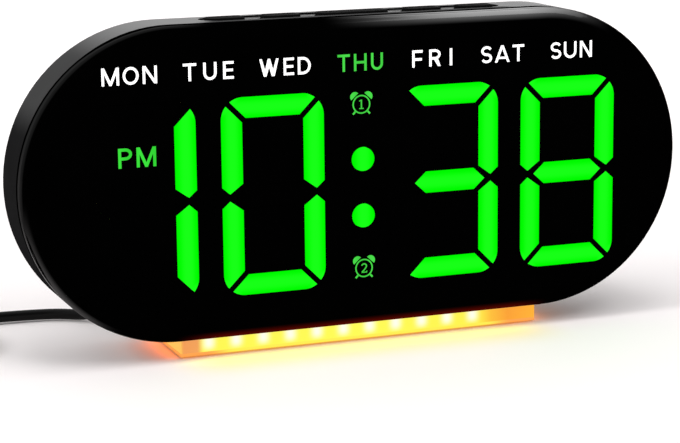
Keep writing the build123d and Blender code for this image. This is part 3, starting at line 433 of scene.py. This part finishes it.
# Digits
# Acrylic light pipes, plugged flush into the lens's windows. A bar that is on glows green, palest
# along its middle. A bar that is off looks like the lens.
DIGIT_CENTRES = {
    "digit_1_lit": -0.06105,
    "digit_2_lit": -0.0262,
    "digit_3_lit": 0.0236,
    "digit_4_lit": 0.05845,
}
DIGIT_Z = 0.0426
DIGIT_HALF_X = 0.0112
DIGIT_HALF_Z = 0.02322
BAR_FADE = (0.0003, 0.0027)
COLON_X = -0.0013
DOT_FADE = (0.0003, 0.0030)
GLOW_MIDDLE = (0.009, 1.0, 0.009)
GLOW_EDGE = (0.0, 0.93, 0.0)


def glow_group():
    """How bright a bar is: pale along the middle of each stroke, deeper towards its edges."""
    group = bpy.data.node_groups.new("Bar glow", "ShaderNodeTree")
    for name, value in (("Centre X", 0.0), ("Centre Z", DIGIT_Z)):
        socket = group.interface.new_socket(name=name, in_out="INPUT", socket_type="NodeSocketFloat")
        socket.default_value = value
    group.interface.new_socket(name="Color", in_out="OUTPUT", socket_type="NodeSocketColor")
    inside = group.nodes.new("NodeGroupInput")
    outside = group.nodes.new("NodeGroupOutput")
    place_x, _, place_z = place_nodes(group)
    x = offset(group, place_x, inside.outputs["Centre X"])
    z = offset(group, place_z, inside.outputs["Centre Z"])
    off_upright = offset(group, x, DIGIT_HALF_X)
    off_level = offset(group, z, DIGIT_HALF_Z)
    off = math_node(group, "MINIMUM", math_node(group, "MINIMUM", off_upright, off_level), z)
    colour = blend_node(group, ramp_node(group, off, *BAR_FADE), GLOW_MIDDLE, GLOW_EDGE)
    group.links.new(colour, outside.inputs["Color"])
    return group


def light_pipe(name):
    """The acrylic of a lit bar or dot, before its glow."""
    return moulded(name, (0.0, 0.02, 0.0), 0.2, 900, 0.02, 0.25, 0.4, specular=0.0)


bar_glow = glow_group()
for name, centre in DIGIT_CENTRES.items():
    glow = light_pipe(f"{name}_glow")
    tree, shader = parts_of(glow)
    bars = tree.nodes.new("ShaderNodeGroup")
    bars.node_tree = bar_glow
    bars.inputs["Centre X"].default_value = centre
    light_up(tree, shader, bars.outputs["Color"])
    dress(name, glow)

dot_glow = light_pipe("dot_glow")
tree, shader = parts_of(dot_glow)
x, _, _ = place_nodes(tree)
dot_fade = ramp_node(tree, offset(tree, x, COLON_X), *DOT_FADE)
light_up(tree, shader, blend_node(tree, dot_fade, GLOW_MIDDLE, GLOW_EDGE))
dress("colon_dots", dot_glow)
dark_bar = moulded("dark_bar", (0.0003, 0.0003, 0.0003), 0.3, 400, 0.01, 0.10, 0.16, specular=0.0)
for name in ("digit_1_dark", "digit_2_dark", "digit_3_dark"):
    dress(name, dark_bar)

# Printed legends
# The days in white ink, with today's, the half of the day and the alarm marks in backlit green.
# The white ink is printed, not backlit: its glow is painted light.
# Each word is one thin layer of ink, drawn as outlines in millimetres on the face.
MM = 0.001
WELD = 0.000001
FACE_Y = -0.0165
INK = 0.03
STROKE = 0.67
HALF_DAY_STROKE = 0.80
LETTER_INSET = 0.12
GLOW_WAVE = 900


def bow(centre_x, centre_z, reach_x, reach_z, start, end, count=14):
    """Points along a part of an ellipse, from one angle to another in degrees."""
    turns = [math.radians(start + (end - start) * i / count) for i in range(count + 1)]
    return [(centre_x + reach_x * math.cos(a), centre_z + reach_z * math.sin(a)) for a in turns]


def ribbon(line, width):
    """The outline of a stroke of even width along a smooth line, with square ends."""
    left = []
    right = []
    for i, (x, z) in enumerate(line):
        before = line[max(i - 1, 0)]
        after = line[min(i + 1, len(line) - 1)]
        run, rise = after[0] - before[0], after[1] - before[1]
        half = width / 2 / math.hypot(run, rise)
        left.append((x - rise * half, z + run * half))
        right.append((x + rise * half, z - run * half))
    return left + right[::-1]


def letter_outline(sign, w, h, s):
    """The outlines of one plain bold capital: w wide, h high, drawn with strokes s wide."""
    low, high = h / 2 - s / 2, h / 2 + s / 2
    if sign == "I":
        return [[(0, 0), (w, 0), (w, h), (0, h)]]
    if sign == "T":
        a, b = (w - s) / 2, (w + s) / 2
        return [[(a, 0), (b, 0), (b, h - s), (w, h - s), (w, h), (0, h), (0, h - s), (a, h - s)]]
    if sign == "E":
        arm = w * 0.93
        foot = [(0, 0), (w, 0), (w, s), (s, s), (s, low), (arm, low), (arm, high), (s, high)]
        return [foot + [(s, h - s), (w, h - s), (w, h), (0, h)]]
    if sign == "F":
        arm = w * 0.93
        foot = [(0, 0), (s, 0), (s, low - s / 4), (arm, low - s / 4), (arm, high - s / 4), (s, high - s / 4)]
        return [foot + [(s, h - s), (w, h - s), (w, h), (0, h)]]
    if sign == "H":
        foot = [(0, 0), (s, 0), (s, low), (w - s, low), (w - s, 0), (w, 0)]
        return [foot + [(w, h), (w - s, h), (w - s, high), (s, high), (s, h), (0, h)]]
    if sign == "N":
        g = s * 1.6
        foot = [(0, 0), (s, 0), (s, h - g), (w - s * 1.15, 0), (w, 0)]
        return [foot + [(w, h), (w - s, h), (w - s, g), (s * 1.15, h), (0, h)]]
    if sign == "M":
        g, tip = s * 2.25, s * 0.42
        slope = (h - g) / (w / 2 - tip - s)
        dip = h - (w / 2 - s * 1.1) * slope
        leg = [(0, 0), (s, 0), (s, h - g), (w / 2 - tip, 0)]
        foot = leg + [(w / 2 + tip, 0), (w - s, h - g), (w - s, 0), (w, 0)]
        return [foot + [(w, h), (w - s * 1.1, h), (w / 2, dip), (s * 1.1, h), (0, h)]]
    if sign == "W":
        b, tip, top, dip = w * 0.29, s * 0.56, s * 0.45, h * 0.36
        valley = [(0, h), (b - tip, 0), (b + tip, 0), (w / 2, h * 0.53)]
        foot = valley + [(w - b - tip, 0), (w - b + tip, 0), (w, h)]
        return [foot + [(w - s, h), (w - b, dip), (w / 2 + top, h), (w / 2 - top, h), (b, dip), (s, h)]]
    if sign == "A":
        foot, top, bar = s * 1.08, s * 0.55, h * 0.2
        slope = (w / 2 - top) / h
        a, b = foot + slope * bar, foot + slope * (bar + s * 0.85)
        legs = [(0, 0), (foot, 0), (a, bar), (w - a, bar), (w - foot, 0), (w, 0)]
        outer = legs + [(w / 2 + top, h), (w / 2 - top, h)]
        return [outer, [(b, bar + s * 0.85), (w - b, bar + s * 0.85), (w / 2, (w / 2 - foot) / slope)]]
    if sign == "U":
        r = w * 0.5
        outer = [(0, h)] + bow(w / 2, r, w / 2, r, 180, 360) + [(w, h), (w - s, h)]
        return [outer + bow(w / 2, r, w / 2 - s, r - s, 360, 180) + [(s, h)]]
    if sign == "O":
        outer = bow(w / 2, h / 2, w / 2, h / 2, 0, 348, 29)
        return [outer, bow(w / 2, h / 2, w / 2 - s, h / 2 - s, 0, 348, 29)]
    if sign == "D":
        a = w * 0.38
        outer = [(0, 0)] + bow(a, h / 2, w - a, h / 2, -90, 90) + [(0, h)]
        return [outer, [(s, s)] + bow(a, h / 2, w - a - s, h / 2 - s, -90, 90) + [(s, h - s)]]
    if sign == "P":
        a, foot = w * 0.5, h * 0.4
        mid, reach = (h + foot) / 2, (h - foot) / 2
        outer = [(0, 0), (s, 0), (s, foot)] + bow(a, mid, w - a, reach, -90, 90) + [(0, h)]
        return [outer, [(s, foot + s)] + bow(a, mid, w - a - s, reach - s, -90, 90) + [(s, h - s)]]
    if sign == "R":
        a, foot = w * 0.5, h * 0.4
        mid, reach = (h + foot) / 2, (h - foot) / 2
        leg = [(0, 0), (s, 0), (s, foot), (w * 0.42, foot), (w - s * 1.15, 0), (w, 0)]
        outer = leg + bow(a, mid, w - a, reach, -58, 90) + [(0, h)]
        return [outer, [(s, foot + s)] + bow(a, mid, w - a - s, reach - s, -90, 90) + [(s, h - s)]]
    # Only the S is left: one stroke along two bows.
    reach_x, reach_z = (w - s) / 2, (h - s) / 4
    top = bow(w / 2, h - s / 2 - reach_z, reach_x, reach_z, 25, 270, 20)
    bottom = bow(w / 2, s / 2 + reach_z, reach_x, reach_z, 90, -155, 20)
    return [ribbon(top[:-1] + bottom, s)]


def ink_layer(name, outlines, ink):
    """Fills outlines in millimetres on the face with one thin layer of ink."""
    bpy.ops.object.select_all(action="DESELECT")
    curve = bpy.data.curves.new(name, "CURVE")
    curve.dimensions = "2D"
    curve.fill_mode = "BOTH"
    curve.extrude = INK / 2
    for outline in outlines:
        edge = curve.splines.new("POLY")
        edge.points.add(len(outline) - 1)
        for point, (x, z) in zip(edge.points, outline):
            point.co = (x, z, 0, 1)
        edge.use_cyclic_u = True
    layer = bpy.data.objects.new(name, curve)
    bpy.context.scene.collection.objects.link(layer)
    layer.select_set(True)
    bpy.context.view_layer.objects.active = layer
    bpy.ops.object.convert(target="MESH")
    layer = bpy.context.object
    upright = Matrix.Rotation(math.radians(90), 4, "X") @ Matrix.Diagonal((MM, MM, MM, 1))
    layer.data.transform(Matrix.Translation((0, FACE_Y - INK / 2 * MM, FACE_Z)) @ upright)
    bpy.ops.object.mode_set(mode="EDIT")
    bpy.ops.mesh.select_all(action="SELECT")
    bpy.ops.mesh.remove_doubles(threshold=WELD)
    bpy.ops.mesh.normals_make_consistent(inside=False)
    bpy.ops.object.mode_set(mode="OBJECT")
    layer.data.materials.clear()
    layer.data.materials.append(ink)
    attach(layer, "clock")
    bpy.ops.object.select_all(action="DESELECT")


def uneven_glow(material, low, high):
    """Lets backlit ink or phosphor glow a little unevenly, as lamps do. On the white ink, which is not
    backlit, this glow is painted light.
    """
    tree, shader = parts_of(material)
    x, _, _ = place_nodes(tree)
    wave = math_node(tree, "SINE", product(tree, x, GLOW_WAVE))
    light_up(tree, shader, blend_node(tree, ramp_node(tree, wave, -1, 1), low, high))


def printed(name, tone, spread, low, high):
    """An ink of the face: its tone, how far the tone varies, and the range of its glow."""
    ink = moulded(name, tone, spread, 3000, 0.05, 0.45, 0.6, specular=0.05)
    uneven_glow(ink, low, high)
    return ink


# Painted light: the white ink glows, though nothing lights it from behind.
white_ink_painted_glow = printed("white_ink_painted_glow", (0.85, 0.85, 0.85), 0.03, (0.48, 0.48, 0.48), (0.60, 0.60, 0.60))
green_ink = printed("green_ink", (0.01, 0.05, 0.01), 0.1, (0.040, 0.56, 0.042), (0.055, 0.68, 0.056))
half_day_ink = printed("half_day_ink", (0.005, 0.03, 0.005), 0.1, (0.024, 0.62, 0.026), (0.036, 0.74, 0.038))

DAY_LOW = 27.2
DAY_HIGH = 31.7
HALF_DAY_LOW = 6.1
HALF_DAY_HIGH = 11.2
# Each letter with its left and its right side, in millimetres from the middle of the face.
DAYS = {
    "monday": (("M", -71.36, -66.59), ("O", -65.89, -61.51), ("N", -60.71, -56.73)),
    "tuesday": (("T", -50.16, -46.38), ("U", -44.78, -41.00), ("E", -39.51, -36.42)),
    "wednesday": (("W", -29.75, -24.28), ("E", -23.18, -20.10), ("D", -19.30, -15.52)),
    "thursday": (("T", -8.35, -4.67), ("H", -3.77, 0.01), ("U", 1.01, 4.59)),
    "friday": (("F", 12.66, 15.84), ("R", 17.53, 21.02), ("I", 23.41, 24.36)),
    "saturday": (("S", 32.56, 35.95), ("A", 36.55, 41.13), ("T", 41.72, 45.41)),
    "sunday": (("S", 53.07, 56.46), ("U", 57.05, 61.04), ("N", 61.83, 65.71)),
}
HALF_DAY = (("P", -67.68, -63.80), ("M", -62.90, -57.53))


def word_outlines(letters, low, high, stroke):
    """The outlines of a word whose letters stand between measured sides."""
    outlines = []
    for sign, left, right in letters:
        for outline in letter_outline(sign, right - left - 2 * LETTER_INSET, high - low, stroke):
            outlines.append([(left + LETTER_INSET + x, low + z) for x, z in outline])
    return outlines


for day, letters in DAYS.items():
    ink = green_ink if day == "thursday" else white_ink_painted_glow
    ink_layer(f"{day}_print", word_outlines(letters, DAY_LOW, DAY_HIGH, STROKE), ink)
half_day = word_outlines(HALF_DAY, HALF_DAY_LOW, HALF_DAY_HIGH, HALF_DAY_STROKE)
ink_layer("half_day_print", half_day, half_day_ink)

# The middle of each alarm mark on the face, and the sizes of both, in millimetres and degrees.
ALARM_PLACES = ((-1.68, 18.4), (-1.33, -25.4))
ALARM_RADIUS = 2.5
ALARM_LINE = 0.37
BELL_REACH = 2.78
BELL_HALF_WIDTH = 1.3
BELL_HEIGHT = 1.25
BELL_LEAN = 42
LEG_LEAN = 43
LEG_START = 2.55
LEG_END = 3.5
LEG_WIDTH = 0.5
TWO_WIDTH = 0.36


def alarm_outlines(number, centre_x, centre_z):
    """A small alarm clock: a ring, two bells, two legs and its number."""
    bore = ALARM_RADIUS - ALARM_LINE
    shapes = [bow(0, 0, ALARM_RADIUS, ALARM_RADIUS, 0, 352, 44), bow(0, 0, bore, bore, 0, 352, 44)]
    for side in (-1, 1):
        lean = math.radians(90 - side * BELL_LEAN)
        out, across = (math.cos(lean), math.sin(lean)), (math.sin(lean), -math.cos(lean))
        bell = bow(0, BELL_REACH, BELL_HALF_WIDTH, BELL_HEIGHT, 0, 180)
        shapes.append([(out[0] * z + across[0] * x, out[1] * z + across[1] * x) for x, z in bell])
        turn = math.radians(-90 + side * LEG_LEAN)
        leg = [(math.cos(turn) * reach, math.sin(turn) * reach) for reach in (LEG_START, LEG_END)]
        shapes.append(ribbon(leg, LEG_WIDTH))
    if number == 1:
        stem = [(-0.62, -1.25), (0.62, -1.25), (0.62, -0.98), (0.19, -0.98), (0.19, 1.25), (-0.05, 1.25)]
        shapes.append(stem + [(-0.62, 1.0), (-0.62, 0.75), (-0.19, 0.85), (-0.19, -0.98), (-0.62, -0.98)])
    else:
        head = bow(0, 0.52, 0.68, 0.60, 165, -35, 14)
        shapes.append(ribbon(head + [(0.1, -0.45), (-0.62, -1.06)], TWO_WIDTH))
        shapes.append([(-0.8, -1.28), (0.86, -1.28), (0.9, -0.75), (0.7, -0.75), (0.62, -1.0), (-0.5, -1.0)])
    return [[(centre_x + x, centre_z + z) for x, z in shape] for shape in shapes]


for number, place in enumerate(ALARM_PLACES, 1):
    ink_layer(f"alarm_mark_{number}", alarm_outlines(number, *place), green_ink)

# Keys
# Five matt black rubber keys in a shallow trough on top, each moulded with its flange and stem.
key_rubber = moulded("key_rubber", (0.002, 0.002, 0.002), 0.2, 2200, 0.15, 0.75, 0.9, specular=0.04)
for place in ("outer_left", "inner_left", "wide", "inner_right", "outer_right"):
    dress(f"key_{place}", key_rubber)
    dress(f"plunger_{place}", white_plastic)
dress("key_switches", band_plastic)

# Rear cover and coin cell cap
# Black ABS with a coarser grain, four screws in wells, and a cap turned with a coin.
cover_plastic = moulded("cover_plastic", (0.009, 0.009, 0.0095), 0.2, 1400, 0.35, 0.5, 0.62, specular=0.3)
dress("rear_cover", cover_plastic)
dress("battery_cap", cover_plastic)
screw_steel = moulded("screw_steel", (0.42, 0.42, 0.43), 0.1, 3000, 0.1, 0.3, 0.42, metallic=1.0)
for name in ("cover_screws", "base_screws", "board_screws"):
    dress(name, screw_steel)
dress("coin_cell", plated_steel)
contact_metal = moulded("contact_metal", (0.62, 0.48, 0.26), 0.08, 2500, 0.06, 0.25, 0.35, metallic=1.0)
dress("cell_contacts", contact_metal)
dress("buzzer", band_plastic)
dress("power_jack", band_plastic)

# Light bar
# A clear acrylic bar that fills with warm light from the row of lamps above it. Two screws hold it and
# its thin floor plate up against the housing. The plate's lower edge is darker.
BAR_HALF = 0.051
BAR_COLOURS = (
    (0.0, (0.93, 0.50, 0.09)),
    (0.002, (0.93, 0.45, 0.09)),
    (0.005, (0.86, 0.31, 0.09)),
    (0.045, (0.86, 0.34, 0.10)),
    (0.06, (0.96, 0.90, 0.08)),
    (0.5, (0.98, 0.94, 0.09)),
    (0.83, (0.98, 0.86, 0.07)),
    (0.87, (0.95, 0.50, 0.04)),
    (0.92, (0.92, 0.33, 0.03)),
    (1.0, (1.0, 0.42, 0.03)),
)
LAMP_COUNT = 11
LAMP_FIRST_X = -0.0434
LAMP_PITCH = 0.007557
LAMP_LAST_X = LAMP_FIRST_X + (LAMP_COUNT - 1) * LAMP_PITCH
LAMP_SHARPNESS = 2.2
LAMP_ROW_START = 0.0038
LAMP_ROW_FULL = 0.0030
HOT_Z = (0.0010, 0.0036)
HOT_SPOT = (1.0, 1.0, 0.82)
TOP_LINE_Z = (0.0047, 0.0050)
TOP_LINE = (1.0, 0.85, 0.45)
TOP_LINE_STRENGTH = 0.7
PLATE_END = (0.036, 0.044)
PLATE_MIDDLE_GLOW = (0.92, 0.78, 0.07)
PLATE_END_GLOW = (0.86, 0.30, 0.06)
PLATE_FOOT_Z = (0.0004, 0.0008)
PLATE_FOOT_GLOW = (0.62, 0.20, 0.03)


def bar_light(material):
    """The glow of the bar: amber near its ends, yellow between, and a hot spot under each lamp."""
    tree, shader = parts_of(material)
    x, _, z = place_nodes(tree)
    colours = tree.nodes.new("ShaderNodeValToRGB")
    stops = colours.color_ramp.elements
    for stop, (position, colour) in zip((stops[0], stops[1]), (BAR_COLOURS[0], BAR_COLOURS[-1])):
        stop.position = position
        stop.color = (*colour, 1)
    for position, colour in BAR_COLOURS[1:-1]:
        stops.new(position).color = (*colour, 1)
    tree.links.new(ramp_node(tree, x, -BAR_HALF, BAR_HALF, smooth=False), colours.inputs["Fac"])
    turn = product(tree, math_node(tree, "SUBTRACT", x, LAMP_FIRST_X), 2 * math.pi / LAMP_PITCH)
    under = ramp_node(tree, math_node(tree, "COSINE", turn), -1.0, 1.0, smooth=False)
    row_start, row_end = LAMP_FIRST_X - LAMP_ROW_START, LAMP_LAST_X + LAMP_ROW_START
    row = between(tree, x, row_start, LAMP_FIRST_X - LAMP_ROW_FULL, LAMP_LAST_X + LAMP_ROW_FULL, row_end)
    spot = product(tree, math_node(tree, "POWER", under, LAMP_SHARPNESS), row, ramp_node(tree, z, *HOT_Z))
    glow = blend_node(tree, spot, colours.outputs["Color"], HOT_SPOT)
    line = ramp_node(tree, z, *TOP_LINE_Z, 0.0, TOP_LINE_STRENGTH)
    light_up(tree, shader, blend_node(tree, line, glow, TOP_LINE))


bar_acrylic = moulded("bar_acrylic", (0.05, 0.04, 0.01), 0.1, 700, 0.02, 0.1, 0.18, specular=0.1)
bar_light(bar_acrylic)
dress("light_bar", bar_acrylic)
plate_acrylic = moulded("plate_acrylic", (0.2, 0.1, 0.03), 0.1, 700, 0.1, 0.3, 0.45, specular=0.1)
tree, shader = parts_of(plate_acrylic)
x, _, z = place_nodes(tree)
ends = ramp_node(tree, math_node(tree, "ABSOLUTE", x), *PLATE_END)
plate_glow = blend_node(tree, ends, PLATE_MIDDLE_GLOW, PLATE_END_GLOW)
foot = ramp_node(tree, z, *PLATE_FOOT_Z, 1.0, 0.0)
light_up(tree, shader, blend_node(tree, foot, plate_glow, PLATE_FOOT_GLOW))
dress("base_plate", plate_acrylic)
foot_rubber = moulded("foot_rubber", (0.05, 0.05, 0.05), 0.2, 900, 0.4, 0.7, 0.85)
dress("feet", foot_rubber)

# Boards and wires inside
# Green boards held by small screws, white sockets, and the flat lead and wire pairs that join them.
board_green = moulded("board_green", (0.012, 0.12, 0.05), 0.15, 500, 0.1, 0.35, 0.5)
dress("display_board", board_green)
dress("key_board", board_green)
dress("light_board", white_plastic)
dress("board_connectors", white_plastic)
dress("display_reflector", white_plastic)
lamp_phosphor = moulded("lamp_phosphor", (0.85, 0.75, 0.3), 0.1, 1200, 0.1, 0.35, 0.5, specular=0.05)
uneven_glow(lamp_phosphor, (0.9, 0.72, 0.22), (1.0, 0.85, 0.3))
dress("base_lamps", lamp_phosphor)
dress("display_leds", lamp_phosphor)
dress("controller_chip", band_plastic)
can_aluminium = moulded("can_aluminium", (0.6, 0.6, 0.62), 0.06, 1800, 0.05, 0.25, 0.38, metallic=1.0)
dress("capacitors", can_aluminium)
ribbon_grey = moulded("ribbon_grey", (0.35, 0.35, 0.36), 0.08, 700, 0.1, 0.45, 0.55)
dress("key_ribbon", ribbon_grey)
wire_red = moulded("wire_red", (0.4, 0.02, 0.015), 0.15, 900, 0.08, 0.35, 0.45)
dress("light_wires", wire_red)
dress("jack_wires", wire_red)

# Desk and light
# A seamless white table under soft light from above, from the left and from the front. A softbox at
# the upper right only shows as shine, and small warm lights are what the bar throws on the table. Just
# in front of the bar, that warm light is also painted into the table's colour as a pool.
TABLE_SIZE = 6
TABLE_WHITE = (0.92, 0.88, 0.88)
TABLE_PAINTED_POOL = (0.92, 0.84, 0.50)
PAINTED_POOL_AHEAD_Y = (-0.046, -0.0185)
PAINTED_POOL_SHARPNESS = 3.0
PAINTED_POOL_UNDER_Y = (-0.0160, -0.0100)
PAINTED_POOL_REACH = (0.040, 0.058)
LIFT_REACH = (0.12, 0.45)
LIFT_STRENGTH = (0.01, 0.30)
STUDIO_STRENGTH = 0.75
WHITE = (1, 1, 1)
YELLOW = (1.0, 0.75, 0.05)
PINK = (1.0, 0.42, 0.40)
RED = (1.0, 0.12, 0.01)
ORANGE = (1.0, 0.30, 0.15)
# Each light's name, place, turn in degrees, size, power and colour. The last word says whether it
# lights surfaces (fill) or only shows in what is glossy (shine).
LIGHTS = (
    ("top_softbox", (0.72, 0.10, 1.08), (0, 34, 0), (0.56, 1.4), 3.8, WHITE, "shine"),
    ("top_fill", (-0.10, -0.30, 1.20), (14.0, -5.0, 0), (0.50, 0.60), 3.3, WHITE, "fill"),
    ("left_softbox", (-1.1, -0.2, 0.75), (-6, -56, 8), (0.35, 0.35), 5.6, WHITE, "fill"),
    ("front_softbox", (0.15, -0.80, 1.00), (38.7, 0, 0), (0.45, 0.45), 2.8, WHITE, "fill"),
    ("bar_front_glow", (-0.002, -0.0150, 0.0045), (-55, 0, 0), (0.098, 0.002), 0.0017, YELLOW, "fill"),
    ("bar_far_glow", (-0.010, -0.030, 0.020), (0, 0, 0), (0.085, 0.004), 0.0016, PINK, "fill"),
    ("bar_left_glow", (-0.0516, 0.0005, 0.0030), (0, 70, 0), (0.004, 0.022), 0.0008, RED, "fill"),
    ("bar_right_glow", (0.0516, 0.0005, 0.0030), (0, -70, 0), (0.004, 0.022), 0.0004, ORANGE, "fill"),
)


def seen_directly(tree):
    """1 for what the camera sees, also in a reflection, and 0 for light that falls on a surface."""
    ray = tree.nodes.new("ShaderNodeLightPath")
    return math_node(tree, "MAXIMUM", ray.outputs["Is Camera Ray"], ray.outputs["Is Glossy Ray"])


bpy.ops.mesh.primitive_plane_add(size=TABLE_SIZE, location=(0, 0, 0))
desk = bpy.context.object
desk.name = "desk"
desk_white = plain("desk_white", TABLE_WHITE, 0.7, specular=0.1)
tree, shader = parts_of(desk_white)
x, y, _ = place_nodes(tree)
# Painted light: a warm pool of the bar's light in the table's colour, just in front of the bar.
ahead = math_node(tree, "POWER", ramp_node(tree, y, *PAINTED_POOL_AHEAD_Y), PAINTED_POOL_SHARPNESS)
before = ramp_node(tree, y, *PAINTED_POOL_UNDER_Y, 1.0, 0.0)
beside = ramp_node(tree, math_node(tree, "ABSOLUTE", x), *PAINTED_POOL_REACH, 1.0, 0.0)
table_painted_pool = blend_node(tree, product(tree, ahead, before, beside), TABLE_WHITE, TABLE_PAINTED_POOL)
tree.links.new(table_painted_pool, shader.inputs["Base Color"])
lift = tree.nodes.new("ShaderNodeEmission")
lift.inputs["Color"].default_value = (*WHITE, 1)
far_lift = ramp_node(tree, hypotenuse(tree, x, y), *LIFT_REACH, *LIFT_STRENGTH)
tree.links.new(product(tree, seen_directly(tree), far_lift), lift.inputs["Strength"])
both = tree.nodes.new("ShaderNodeAddShader")
tree.links.new(shader.outputs["BSDF"], both.inputs[0])
tree.links.new(lift.outputs["Emission"], both.inputs[1])
tree.links.new(both.outputs["Shader"], tree.nodes["Material Output"].inputs["Surface"])
desk.data.materials.append(desk_white)

world = bpy.data.worlds.new("studio")
bpy.context.scene.world = world
world.use_nodes = True
tree = world.node_tree
background = tree.nodes["Background"]
background.inputs["Color"].default_value = (*WHITE, 1)
studio_light = ramp_node(tree, seen_directly(tree), 0, 1, STUDIO_STRENGTH, 1.0, smooth=False)
tree.links.new(studio_light, background.inputs["Strength"])

for name, place, turn, (wide, deep), power, colour, use in LIGHTS:
    bpy.ops.object.light_add(type="AREA", location=place)
    light = bpy.context.object
    light.name = name
    light.data.shape = "RECTANGLE"
    light.data.size = wide
    light.data.size_y = deep
    light.data.energy = power
    light.data.color = colour
    light.rotation_euler = [math.radians(angle) for angle in turn]
    light.visible_diffuse = use == "fill"
    light.visible_glossy = use == "shine"
    light.visible_camera = False

bpy.context.view_layer.update()
